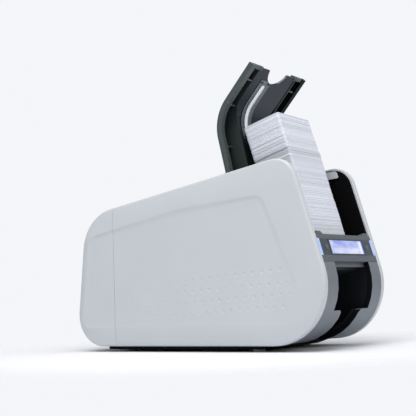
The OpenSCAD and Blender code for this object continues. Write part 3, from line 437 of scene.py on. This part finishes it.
def floor_paper():
    """White paper with a faint fibre, 2.5 mm; it gives back a little less light than it shows."""
    tree = blank("floor_paper")
    place = add(tree, "ShaderNodeTexCoord").outputs["Object"]
    fibre = add(tree, "ShaderNodeTexNoise", {"Vector": place, "Scale": 1 / (2.5 * MM)}).outputs[0]
    paper = add(tree, "ShaderNodeMix", {0: fibre, 6: tone("F2F3F6"), 7: tone("F5F6F9")},
                data_type="RGBA").outputs[2]
    seen = add(tree, "ShaderNodeLightPath").outputs["Is Camera Ray"]
    shade = add(tree, "ShaderNodeMix", {0: seen, 6: tone("E3E7EE"), 7: paper}, data_type="RGBA")
    gloss = add(tree, "ShaderNodeBsdfPrincipled", {"Base Color": shade.outputs[2], "Roughness": 0.6})
    reach = add(tree, "ShaderNodeVectorMath", {0: place}, operation="LENGTH").outputs[1]
    fade = add(tree, "ShaderNodeMapRange", {"Value": reach, "From Min": FADE_FROM, "From Max": FADE_TO},
               interpolation_type="SMOOTHSTEP")
    open_part = add(tree, "ShaderNodeMath", {0: fade.outputs[0], 1: seen}, operation="MULTIPLY")
    clear = add(tree, "ShaderNodeBsdfTransparent")
    mixed = add(tree, "ShaderNodeMixShader", {
        0: open_part.outputs[0], 1: gloss.outputs[0], 2: clear.outputs[0]})
    add(tree, "ShaderNodeOutputMaterial", {"Surface": mixed.outputs[0]})


def sky():
    """An even pale sky; the camera and clear plastic see the white backdrop instead."""
    world = bpy.data.worlds.new("studio")
    world.use_nodes = True
    bpy.context.scene.world = world
    tree = world.node_tree
    tree.nodes.clear()
    path = add(tree, "ShaderNodeLightPath")
    seen = add(tree, "ShaderNodeMath", {
        0: path.outputs["Is Camera Ray"], 1: path.outputs["Is Transmission Ray"]}, operation="MAXIMUM")
    light = add(tree, "ShaderNodeBackground", {"Color": tone("F3F5F9"), "Strength": 0.45})
    backdrop = add(tree, "ShaderNodeBackground", {"Color": tone("F4F6F9"), "Strength": 1.0})
    mixed = add(tree, "ShaderNodeMixShader", {
        0: seen.outputs[0], 1: light.outputs[0], 2: backdrop.outputs[0]})
    add(tree, "ShaderNodeOutputWorld", {"Surface": mixed.outputs[0]})


def studio():
    """A white floor that runs out into the backdrop, the sky, and three soft square lamps."""
    floor_paper()
    corners = [(x * FLOOR_HALF, y * FLOOR_HALF, 0) for x, y in ((-1, -1), (1, -1), (1, 1), (-1, 1))]
    mesh = bpy.data.meshes.new("floor")
    mesh.from_pydata(corners, [], [(0, 1, 2, 3)])
    floor = new_object("floor", mesh, "floor_paper")
    sky()
    for name, place, target, power, side in LAMPS:
        data = bpy.data.lights.new(name, "AREA")
        data.energy, data.size, data.shape = power, side, "SQUARE"
        made = bpy.data.objects.new(name, data)
        made.location = place
        made.rotation_euler = (Vector(target) - Vector(place)).to_track_quat("-Z", "Y").to_euler()
        bpy.context.scene.collection.objects.link(made)


# ---------------------------------------------------------------- side panels
# Side view of a panel in mm: length, height over the middle, lower edge, seam and its gap; the
# leans of the three upper edges; the corner radii from the rear bottom round to the front bottom.
BODY_LEN, MID_H, PANEL_Z, SEAM_Y, SEAM_GAP = 388, 215.8, 7.6, 126, 0.4
TOP, FRONT, REAR = (math.radians(a) for a in (9.1, 15.8, 6.9))
R_RB, R_RT, R_FT, R_FB = 42, 60, 30, 74
# further out in y than any panel reaches, and a block in x and z that holds a whole panel
BEYOND, BLOCK_X, BLOCK_LOW, BLOCK_HIGH = 300, 120, -20, 320
# distances of ridge, rim and inner edge from the middle of the machine, and the wall
PANEL_X, RIM_X, INNER_X, WALL = 86.5, 83.1, 74.5, 2.5
# the field leans inwards above this height, by so much over so much
FIELD_X, FIELD_Z, FIELD_LEAN = PANEL_X - 0.3, 32.6, 1.6 / 169.1
MIDDLE = Vector((0, MID_H / 2))


def rim(i):
    """The panel's outline set in by i mm, as y, z and radius of its four corners.

    Each edge is its direction outwards in y and z and its distance from the origin.
    """
    bottom = (0, -1, -PANEL_Z - i)
    rear = (math.cos(REAR), math.sin(REAR),
            math.cos(REAR) * (BODY_LEN / 2 - R_RB) + math.sin(REAR) * (PANEL_Z + R_RB) + R_RB - i)
    top = (math.sin(TOP), math.cos(TOP), math.cos(TOP) * MID_H - i)
    front = (-math.cos(FRONT), math.sin(FRONT),
             -math.cos(FRONT) * (R_FB - BODY_LEN / 2) + math.sin(FRONT) * (PANEL_Z + R_FB) + R_FB - i)

    def corner(a, b, radius):
        """Where two edges meet, with the radius there."""
        k = a[0] * b[1] - a[1] * b[0]
        return (a[2] * b[1] - b[2] * a[1]) / k, (a[0] * b[2] - b[0] * a[2]) / k, radius

    return [corner(bottom, rear, R_RB - i), corner(rear, top, R_RT - i),
            corner(top, front, R_FT - i), corner(front, bottom, R_FB - i)]


# outline of the flat field: y, z and radius of its six corners
CREASE = [(184.5, 32.6, 12), (168.5, 157.8, 10), (14, 186.5, 150), (-114.1, 194.1, 14),
          (-160, 79, 24), (-150, 32.6, 24)]


def rounded(corners, n=14):
    """Points along an outline, each of its corners rounded in n steps."""
    points = []
    for k, (y, z, radius) in enumerate(corners):
        at = Vector((y, z))
        u = (Vector(corners[k - 1][:2]) - at).normalized()
        v = (Vector(corners[(k + 1) % len(corners)][:2]) - at).normalized()
        half = math.acos(max(-1, min(1, u.dot(v)))) / 2
        centre = at + (u + v).normalized() * radius / math.sin(half)
        start = at + u * radius / math.tan(half) - centre
        sweep = (math.pi - 2 * half) * (-1 if u.x * v.y - u.y * v.x > 0 else 1)
        for j in range(n + 1):
            turn = sweep * j / n
            points.append(centre + Vector((start.x * math.cos(turn) - start.y * math.sin(turn),
                                           start.x * math.sin(turn) + start.y * math.cos(turn))))
    return points


def reach_of(points, turn):
    """Distance from the middle to an outline in one direction."""
    d = Vector((math.cos(turn), math.sin(turn)))
    for k, p in enumerate(points):
        p = p - MIDDLE
        r = points[(k + 1) % len(points)] - MIDDLE - p
        cross = d.x * r.y - d.y * r.x
        if cross > 1e-9 and -1e-9 < (p.x * d.y - p.y * d.x) / cross < 1 + 1e-9:
            return (p.x * r.y - p.y * r.x) / cross
    raise ValueError(turn)


def field_x(height):
    """Distance of a side panel's flat field from the middle of the machine, at that height."""
    return FIELD_X - FIELD_LEAN * (height - FIELD_Z)


def panel_mesh(side):
    """The whole side shell: flat field, ridge, falling bevel, rounded rim, and its inside."""
    rims = {i: rounded(rim(i)) for i in (0, 0.25, 0.6, 0.9, 1.8, 2.9, 3, 3.1)}
    edge = rounded(CREASE)
    turns = sorted({round(math.atan2(p.y - MIDDLE.y, p.x - MIDDLE.x), 3)
                    for p in rims[0] + rims[3] + edge}
                   | {round(math.radians(3 * k), 3) for k in range(-60, 60)})
    reaches = {i: [reach_of(rims[i], t) for t in turns] for i in rims}
    crease = [reach_of(edge, t) for t in turns]
    rings = []

    def ring(reach, x):
        """Adds an outline at x, which is a distance or a function of the point's place."""
        line = []
        for k, t in enumerate(turns):
            y, z = MIDDLE.x + reach[k] * math.cos(t), MIDDLE.y + reach[k] * math.sin(t)
            line.append((x(k, z) if callable(x) else x, y, z))
        rings.append(line)

    # from the field up its soft step to the ridge
    for inset, share in ((9, 0), (7.2, 0.06), (5.6, 0.22), (4, 0.48), (2.6, 0.74), (1.3, 0.93),
                         (0.4, 0.99)):
        ring([c - inset for c in crease], lambda k, z: field_x(z) + share * (PANEL_X - field_x(z)))
    # the bevel starts flat and falls away faster towards the rim
    for share in (0.04, 0.14, 0.3, 0.5, 0.7, 0.87):
        ring([c + share * (r - c) for c, r in zip(crease, reaches[3])],
             PANEL_X - (PANEL_X - RIM_X - 0.6) * (0.25 * share + 0.75 * share ** 2))
    # round the rim, along its side, over the inner edge and back up inside
    for inset, x in ((3, RIM_X + 0.6), (1.8, RIM_X + 0.28), (0.9, RIM_X - 0.3), (0.25, RIM_X - 1.3),
                     (0, RIM_X - 2.4), (0, INNER_X + 0.8), (0.6, INNER_X), (2.9, INNER_X),
                     (3.1, RIM_X - 2)):
        ring(reaches[inset], x)
    ring([c - 4 for c in crease], lambda k, z: field_x(z) - WALL)
    m = len(turns)
    points = [(side * x, y, z) for line in rings for x, y, z in line]
    faces = [tuple(range(m)), tuple((len(rings) - 1) * m + i for i in range(m - 1, -1, -1))]
    faces += [(j * m + (i + 1) % m, j * m + i, (j + 1) * m + i, (j + 1) * m + (i + 1) % m)
              for j in range(len(rings) - 1) for i in range(m)]
    if side < 0:
        faces = [face[::-1] for face in faces]
    return plain_mesh("panel", points, faces)


def block_object(low, high):
    """A block between two corners in mm, for cutting."""
    points = [(x, y, z) for x in (low[0], high[0]) for y in (low[1], high[1])
              for z in (low[2], high[2])]
    faces = [(0, 1, 3, 2), (4, 6, 7, 5), (0, 4, 5, 1), (2, 3, 7, 6), (0, 2, 6, 4), (1, 5, 7, 3)]
    made = bpy.data.objects.new("block", plain_mesh("block", points, faces))
    bpy.context.scene.collection.objects.link(made)
    return made


def panel(node, side, y0, y1):
    """One panel: the stretch of a side shell from y0 to y1, with its dimples."""
    made = new_object(node + "_shell", panel_mesh(side), "abs_satin_white")
    stretch = block_object((-BLOCK_X, y0, BLOCK_LOW), (BLOCK_X, y1, BLOCK_HIGH))
    for cutter, operation in ((stretch, "INTERSECT"), (dimple_cutter(side), "DIFFERENCE")):
        carved(made, cutter, operation)
        bpy.data.objects.remove(cutter)
    smooth_faces(made.data, 30)
    weighted(made)
    seated(made, node)


# rows of large dimples, first and last centre as y and z; they shrink behind SHRINK_Y
DIMPLE_ROWS = (((-135.2, 99.9), (34, 89.5)), ((-143.7, 83.7), (21.1, 76.5)),
               ((-147.6, 70.6), (19, 62.1)), ((-137.6, 55.4), (25, 48.2)))
DIMPLE_R, DIMPLE_PITCH, SHRINK_Y, SHRINK = 2.7, 12.8, -24, 1.3 / 60
# grid of small dots behind them: columns, rows, first y and z, pitches, fall per mm, radii
DOT_COLUMNS, DOT_ROWS, DOT_Y, DOT_Z, DOT_DY, DOT_DZ, DOT_FALL = 18, 8, 38, 88, 6.4, 5.7, 0.055
DOT_R, DOT_R_LOSS, SEAM_CLEAR = 1.0, 0.45, 3


def dimple_places():
    """Centres and radii of the moulded dimples on one panel, as y, z, radius in mm."""
    places = []
    for (y0, z0), (y1, z1) in DIMPLE_ROWS:
        count = round((y1 - y0) / DIMPLE_PITCH)
        for k in range(count + 1):
            y = y0 + (y1 - y0) * k / count
            places.append((y, z0 + (z1 - z0) * k / count, DIMPLE_R - SHRINK * max(0, y - SHRINK_Y)))
    for k in range(DOT_COLUMNS):
        for j in range(DOT_ROWS):
            y = DOT_Y + DOT_DY * k
            if abs(y - SEAM_Y) > SEAM_CLEAR:
                places.append((y, DOT_Z - DOT_DZ * j - DOT_FALL * (y - DOT_Y),
                               DOT_R - DOT_R_LOSS * k / (DOT_COLUMNS - 1)))
    return places


def dimple_growth():
    """Sets a flattened ball on every point, sized by the point's own reach."""
    tree, given = geometry("dimple_field", Finish="NodeSocketMaterial")
    ball = add(tree, "GeometryNodeMeshUVSphere", {"Segments": 16, "Rings": 10, "Radius": 1.0})
    reach = add(tree, "GeometryNodeInputNamedAttribute", {"Name": "reach"},
                data_type="FLOAT_VECTOR").outputs[0]
    laid = add(tree, "GeometryNodeInstanceOnPoints", {
        "Points": given["Geometry"], "Instance": ball.outputs[0], "Scale": reach})
    solid = add(tree, "GeometryNodeRealizeInstances", {"Geometry": laid.outputs[0]})
    done = add(tree, "GeometryNodeSetMaterial", {
        "Geometry": solid.outputs[0], "Material": given["Finish"]})
    add(tree, "NodeGroupOutput", {"Geometry": done.outputs[0]})
    return tree


# a ball of a large dimple: how far its centre stands out, and its reach into the panel
BALL_OUT, BALL_DEEP, BALL_WIDE = 0.5, 1.1, 1.14


def dimple_cutter(side):
    """The balls that press the dimples into one panel, as one object."""
    places = dimple_places()
    mesh = plain_mesh("dimples", [(side * (field_x(z) + BALL_OUT * r / DIMPLE_R), y, z)
                                  for y, z, r in places], [])
    reach = mesh.attributes.new("reach", "FLOAT_VECTOR", "POINT")
    for k, (_, _, r) in enumerate(places):
        reach.data[k].vector = Vector((BALL_DEEP * r / DIMPLE_R, BALL_WIDE * r, BALL_WIDE * r)) * MM
    balls = grown("dimples", mesh, dimple_growth(), {"Finish": FINISHES["abs_satin_white"]})
    made = bpy.data.objects.new("dimples", balls)
    bpy.context.scene.collection.objects.link(made)
    return made


# ---------------------------------------------------------------- hopper cover
# The cover from the side, in mm: its outer line starts at COVER_BASE, leans by COVER_LEAN from
# level, bends by COVER_BEND and ends at COVER_END. The middle panel stands in from its two straight
# stretches by MID_1 and MID_2, and bends with radius BEND_R.
COVER_BASE, COVER_END, COVER_LEAN, COVER_BEND = Vector((-55, 217.7)), Vector((-95.4, 364.2)), 77.9, 54.8
MID_1, MID_2, BEND_R = 9.5, 0.5, 42
# the level window's middle and half its clear part; half the slot under it and half its frame
WINDOW_X, CLEAR_HALF, SLOT_HALF, FRAME_HALF = -16, 4.8, 5.6, 12.3
# half the middle panel, and the outer sides of the rails and of the channels
PANEL_HALF, RAIL_X, CHANNEL_X = 47.2, 45.5, 60
# heights of the raised frame over the panel; where the panel's foot ends, upwards and forwards
FRAME_FROM, FRAME_TO, FOOT_TOP, FOOT_FRONT = 2.9, 3.9, 262, -66
# how far outside the outer line the far rim still counts, and the channels' floors begin
RIM_OUT, CHANNEL_OUT = 1.5, 2.2


def heading(degrees):
    """A direction as y and z."""
    return Vector((math.cos(math.radians(degrees)), math.sin(math.radians(degrees))))


# along each stretch, and inwards from it
ALONG = heading(COVER_LEAN), heading(COVER_LEAN + COVER_BEND)
INWARDS = heading(COVER_LEAN + 90), heading(COVER_LEAN + COVER_BEND + 90)
BEND_CENTRE = Matrix(INWARDS).inverted() @ Vector((
    MID_1 + BEND_R + COVER_BASE.dot(INWARDS[0]), MID_2 + BEND_R + COVER_END.dot(INWARDS[1])))


def cover_lines(p):
    """How far a point stands in from the cover's two straight stretches, in mm."""
    at = Vector((p.y, p.z))
    return (at - COVER_BASE).dot(INWARDS[0]), (at - COVER_END).dot(INWARDS[1])


def panel_height(p):
    """Height of a point over the underside of the cover's middle panel, in mm."""
    lower, upper = cover_lines(p)
    from_centre = Vector((p.y, p.z)) - BEND_CENTRE
    if from_centre.dot(ALONG[0]) < 0:
        return lower - MID_1
    if from_centre.dot(ALONG[1]) > 0:
        return upper - MID_2
    return BEND_R - from_centre.length


def inward(n):
    """Whether a face of the open cover looks at the cards."""
    return n.y < -0.2 or (n.z < -0.2 and n.y < 0.3)


def window_frame(p, n):
    """The raised frame that holds the window."""
    return abs(p.x - WINDOW_X) < FRAME_HALF and FRAME_FROM < panel_height(p) < FRAME_TO


def near_rail_wall(p, n):
    """The outer wall of the near rail, which drops into the near channel."""
    return -CHANNEL_X < p.x < -RAIL_X and n.x < -0.5


def far_rim(p, n):
    """The far rim's faces towards the cards and the near side."""
    return p.x > CHANNEL_X and (n.x < -0.5 or inward(n)) and cover_lines(p)[1] > -RIM_OUT


def panel_foot(p, n):
    """The lower end of the middle panel, behind the cards."""
    return abs(p.x) < PANEL_HALF and inward(n) and p.z < FOOT_TOP and p.y > FOOT_FRONT


def middle_panel(p, n):
    """The middle panel's faces towards the cards."""
    return abs(p.x) < PANEL_HALF and inward(n) and abs(n.x) < 0.5


def channel(p, n):
    """The floors of the two recessed channels between rail and rim."""
    return (RAIL_X + 0.5 < abs(p.x) < CHANNEL_X + 0.5 and inward(n)
            and min(cover_lines(p)) < -CHANNEL_OUT)


# ---------------------------------------------------------------- display bar
# the bar's face: x across, y up along the slope from its lower edge, z out of it, in mm
BAR_FACE = Matrix.Translation((0, -189.49, 107.8)) @ Matrix.Rotation(math.pi / 2 - FRONT, 4, "X")
# middle of the screen on it, the screen's glass, and the band between the light bars
SCREEN_AT, SCREEN_W, SCREEN_H, BAND_H, BAND_DEEP = 18.6, 89.0, 17.2, 21.2, 1.5
# depths of the glass's back and front, and how much wider the opening for it is, and its depths
GLASS_BACK, GLASS_FRONT, OPENING_SLACK, OPENING_BACK, OPENING_FRONT = -6.9, -0.7, 0.2, -9, 3
# half the width of the output bay's opening, with its walls
BAY_HALF = 48


def on_bar(p):
    """A point's x, height from the screen's middle and depth on the display bar, in mm."""
    local = BAR_FACE.inverted() @ p
    return Vector((local.x, local.y - SCREEN_AT, local.z))


def bar_block(width, height, low, high):
    """A block on the display bar round the screen's middle, from depth low to high."""
    made = block_object((-width / 2, SCREEN_AT - height / 2, low),
                        (width / 2, SCREEN_AT + height / 2, high))
    for vertex in made.data.vertices:
        vertex.co = BAR_FACE @ (vertex.co / MM) * MM
    return made


def screen_band(p, n):
    """The band along the bar's face that the screen and the light bars sit in."""
    at = on_bar(p)
    return abs(at.y) < BAND_H / 2 and at.z > -BAND_DEEP


def opening_wall(p, n):
    """The walls of the output bay's opening: black, only its front is grey."""
    return abs(n.x) > 0.5 and abs(p.x) < BAY_HALF and p.x * n.x < 0


def screen_glass():
    """The screen's glass, 0.1 mm under the bar's face."""
    made = bar_block(SCREEN_W, SCREEN_H, GLASS_BACK, GLASS_FRONT)
    made.name = "lcd_screen_glass"
    made.data.materials.append(FINISHES["display_backlit"])
    softened = made.modifiers.new("edge", "BEVEL")
    softened.width, softened.segments = 0.3 * MM, 2
    baked(made)
    smooth_faces(made.data, 50)
    seated(made, "lcd_screen")


# ---------------------------------------------------------------- pieces from CAD shapes
# faces with a finish of their own
INNER_FACES = {
    "bay_frame": [("abs_textured_black", opening_wall)],
    "lcd_bezel": [("polycarbonate_smoked", screen_band)],
    "hopper_cover": [
        ("polycarbonate_frosted", window_frame),
        ("abs_matt_slate", near_rail_wall),
        ("abs_rough_slate", far_rim),
        ("abs_matt_slate", panel_foot),
        ("abs_polished_panel", middle_panel),
        ("abs_rough_slate", channel)],
    # only the middle of the window is clear down to the slot, its sides are frosted
    "cover_window": [("polycarbonate_frosted", lambda p, n: abs(p.x - WINDOW_X) > CLEAR_HALF + 0.1)],
}
# where faces are split so that one part of them can take another finish
CUTS = {
    "cover_window": [((WINDOW_X + d, 0, 0), (1, 0, 0)) for d in (-CLEAR_HALF, CLEAR_HALF)],
    "hopper_cover": [((WINDOW_X + d, 0, 0), (1, 0, 0)) for d in (-SLOT_HALF, SLOT_HALF)],
    "lcd_bezel": [(BAR_FACE @ Vector((0, SCREEN_AT + d, 0)), BAR_FACE.to_3x3() @ Vector((0, 1, 0)))
                  for d in (-BAND_H / 2, BAND_H / 2)],
}
# node, finish, slot, and by how many mm its edges are broken
REFINED = (("hopper_cover", "abs_polished_slate", "cover_grey", 0.3),
           ("cover_window", "polycarbonate_clear", "clear_window", 0),
           ("lcd_bezel", "abs_bar_grey", "front_grey", 0.3),
           ("bay_frame", "abs_satin_grey", "front_grey", 0.4),
           ("exit_guide", "abs_exit_grey", "front_grey", 0.2),
           ("bay_liner", "abs_bay_black", "inner_black", 0),
           ("top_cover", "abs_satin_dark_grey", "shell_grey", 0.4),
           ("rear_cover", "abs_satin_dark_grey", "shell_grey", 0.3))

studio()
for side, name in ((-1, "left"), (1, "right")):
    panel("side_panel_" + name, side, -BEYOND, SEAM_Y - SEAM_GAP / 2)
    panel("rear_panel_" + name, side, SEAM_Y + SEAM_GAP / 2, BEYOND)
for node_name, finish_name, slot_name, edge in REFINED:
    opening = None
    if node_name == "lcd_bezel":
        opening = bar_block(SCREEN_W + OPENING_SLACK, SCREEN_H + OPENING_SLACK,
                            OPENING_BACK, OPENING_FRONT)
    refined(node_name, finish_name, edge, inner=INNER_FACES.get(node_name, ()),
            cuts=CUTS.get(node_name, ()), opening=opening)
screen_glass()

# ---------------------------------------------------------------- cards
# the pile's own frame: the lower front edge of its lowest card, leaning back by 16 degrees
STACK = Matrix.Translation(Vector((0, -168.8, 118)) * MM) @ Matrix.Rotation(math.radians(-16), 4, "X")
# the card size ID-1 in mm, the chamfer on its edges, and the cards under and over the shut cover
CARD_L, CARD_W, CARD_T, CORNER = 85.6, 54.0, 0.76, 3.18
EDGE_IN, EDGE_UP = 0.16, 0.12
LOWER_LOT, UPPER_LOT = 76, 175


def card_mesh():
    """One card on z = 0 in the pile's frame, its edges broken so that each one draws a line."""
    points, faces = [], []
    for height, inset in ((0, EDGE_IN), (EDGE_UP, 0), (CARD_T - EDGE_UP, 0), (CARD_T, EDGE_IN)):
        radius = CORNER - inset
        for k, (sx, sy) in enumerate(((1, 1), (-1, 1), (-1, -1), (1, -1))):
            for j in range(4):
                turn = math.radians(90 * k + 30 * j)
                points.append((sx * (CARD_L / 2 - CORNER) + radius * math.cos(turn),
                               CARD_W / 2 + sy * (CARD_W / 2 - CORNER) + radius * math.sin(turn),
                               height))
    for r in range(3):
        faces += [(r * 16 + i, r * 16 + (i + 1) % 16, (r + 1) * 16 + (i + 1) % 16, (r + 1) * 16 + i)
                  for i in range(16)]
    faces += [tuple(range(15, -1, -1)), tuple(range(48, 64))]
    return plain_mesh("card", points, faces)


# lots of cards pushed over together: first card, shift along x and y in mm, turn in degrees, and
# painted shade: how much darker its cards are drawn, for the shadow the cards above cast on a lot
# pushed back
LOTS = ((0, 0.2, 0.2, 0, 0), (22, -0.2, 0.0, 0, 0), (60, 0.2, 0.0, 0, 0), (96, 0.0, 0.1, 0.1, 0),
        (131, 0.4, 0.0, 0.2, 0.1), (166, 0.6, 0.1, 0.2, 0.1), (176, 1.7, 0.2, 0.3, 0.3),
        (188, 0.4, 0.4, 0.5, 0), (197, 1.1, 0.3, 0.5, 0.2), (199, 0.5, 0.5, 0.6, 0),
        (207, 1.3, 0.5, 0.6, 0.2), (210, 0.8, 0.8, 0.8, 0), (224, 0.6, 0.9, 0.9, 0.1),
        (229, 1.0, 1.0, 1.0, 0), (242, 0.9, 1.1, 1.1, 0))


def card_places(first, count):
    """Points in the pile's frame with each card's turn, and its tone darkened by its lot's painted
    shade.
    """
    draw = random.Random(7)
    rows = []
    for k in range(LOWER_LOT + UPPER_LOT):
        _, along_x, along_y, turn, painted_shade = [lot for lot in LOTS if lot[0] <= k][-1]
        shift = draw.gauss(0, 0.15), draw.gauss(0, 0.12)
        odd = draw.random()
        rows.append((along_x + shift[0], along_y + shift[1], k * CARD_T, math.radians(turn),
                     (0.55 + 0.45 * odd) * (1 - painted_shade)))
    rows = rows[first:first + count]
    mesh = plain_mesh("card_places", [row[:3] for row in rows], [])
    mesh.attributes.new("turn", "FLOAT_VECTOR", "POINT")
    mesh.attributes.new("card_tone_and_shade", "FLOAT", "POINT")
    for k, row in enumerate(rows):
        mesh.attributes["turn"].data[k].vector = (0, 0, row[3])
        mesh.attributes["card_tone_and_shade"].data[k].value = row[4]
    return mesh


def card_growth():
    """Lays a card on every point, turned as the point says."""
    tree, given = geometry("card_pile", Card="NodeSocketObject", Finish="NodeSocketMaterial")
    card = add(tree, "GeometryNodeObjectInfo", {"Object": given["Card"]}).outputs["Geometry"]
    turn = add(tree, "GeometryNodeInputNamedAttribute", {"Name": "turn"},
               data_type="FLOAT_VECTOR").outputs[0]
    laid = add(tree, "GeometryNodeInstanceOnPoints", {
        "Points": given["Geometry"], "Instance": card, "Rotation": turn})
    solid = add(tree, "GeometryNodeRealizeInstances", {"Geometry": laid.outputs[0]})
    done = add(tree, "GeometryNodeSetMaterial", {
        "Geometry": solid.outputs[0], "Material": given["Finish"]})
    add(tree, "NodeGroupOutput", {"Geometry": done.outputs[0]})
    return tree


def card_finish():
    """PVC card, gloss laminate on a white core, edges matt and a little blue; cards differ in tone at
    random, and the cards of a lot pushed back are drawn darker as painted shade.
    """
    tree = blank("pvc_cards_stacked")
    place = add(tree, "ShaderNodeTexCoord").outputs["Object"]
    # each card's own tone at random, times its lot's painted shade
    odd = add(tree, "ShaderNodeAttribute", attribute_name="card_tone_and_shade").outputs["Fac"]
    fine = add(tree, "ShaderNodeTexNoise", {
        "Vector": place, "Scale": 1 / (2 * MM), "Detail": 2}).outputs[0]
    shade = add(tree, "ShaderNodeMix", {0: odd, 6: tone("A9ACB3"), 7: tone("E9EBF2")}, data_type="RGBA")
    worn = add(tree, "ShaderNodeMapRange", {"Value": fine, "To Min": 0.34, "To Max": 0.46})
    bump = add(tree, "ShaderNodeBump", {"Height": fine, "Distance": 0.003 * MM})
    gloss = add(tree, "ShaderNodeBsdfPrincipled", {
        "Base Color": shade.outputs[2], "Roughness": worn.outputs[0], "Normal": bump.outputs[0],
        "IOR": 1.54})
    add(tree, "ShaderNodeOutputMaterial", {"Surface": gloss.outputs[0]})


card_finish()
card = bpy.data.objects.new("card", card_mesh())
growth = card_growth()
for node, count, first in (("card_stack", LOWER_LOT, 0), ("card_stack_top", UPPER_LOT, LOWER_LOT)):
    mesh = grown(node + "_cards", card_places(first, count), growth, {
        "Card": card, "Finish": FINISHES["pvc_cards_stacked"]})
    mesh.transform(STACK)
    made = new_object(node + "_cards", mesh, "pvc_cards_stacked")
    seated(made, node)
    # the upper lot has to go before the cover can shut
    if node == "card_stack_top":
        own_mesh(made)
bpy.data.objects.remove(card)
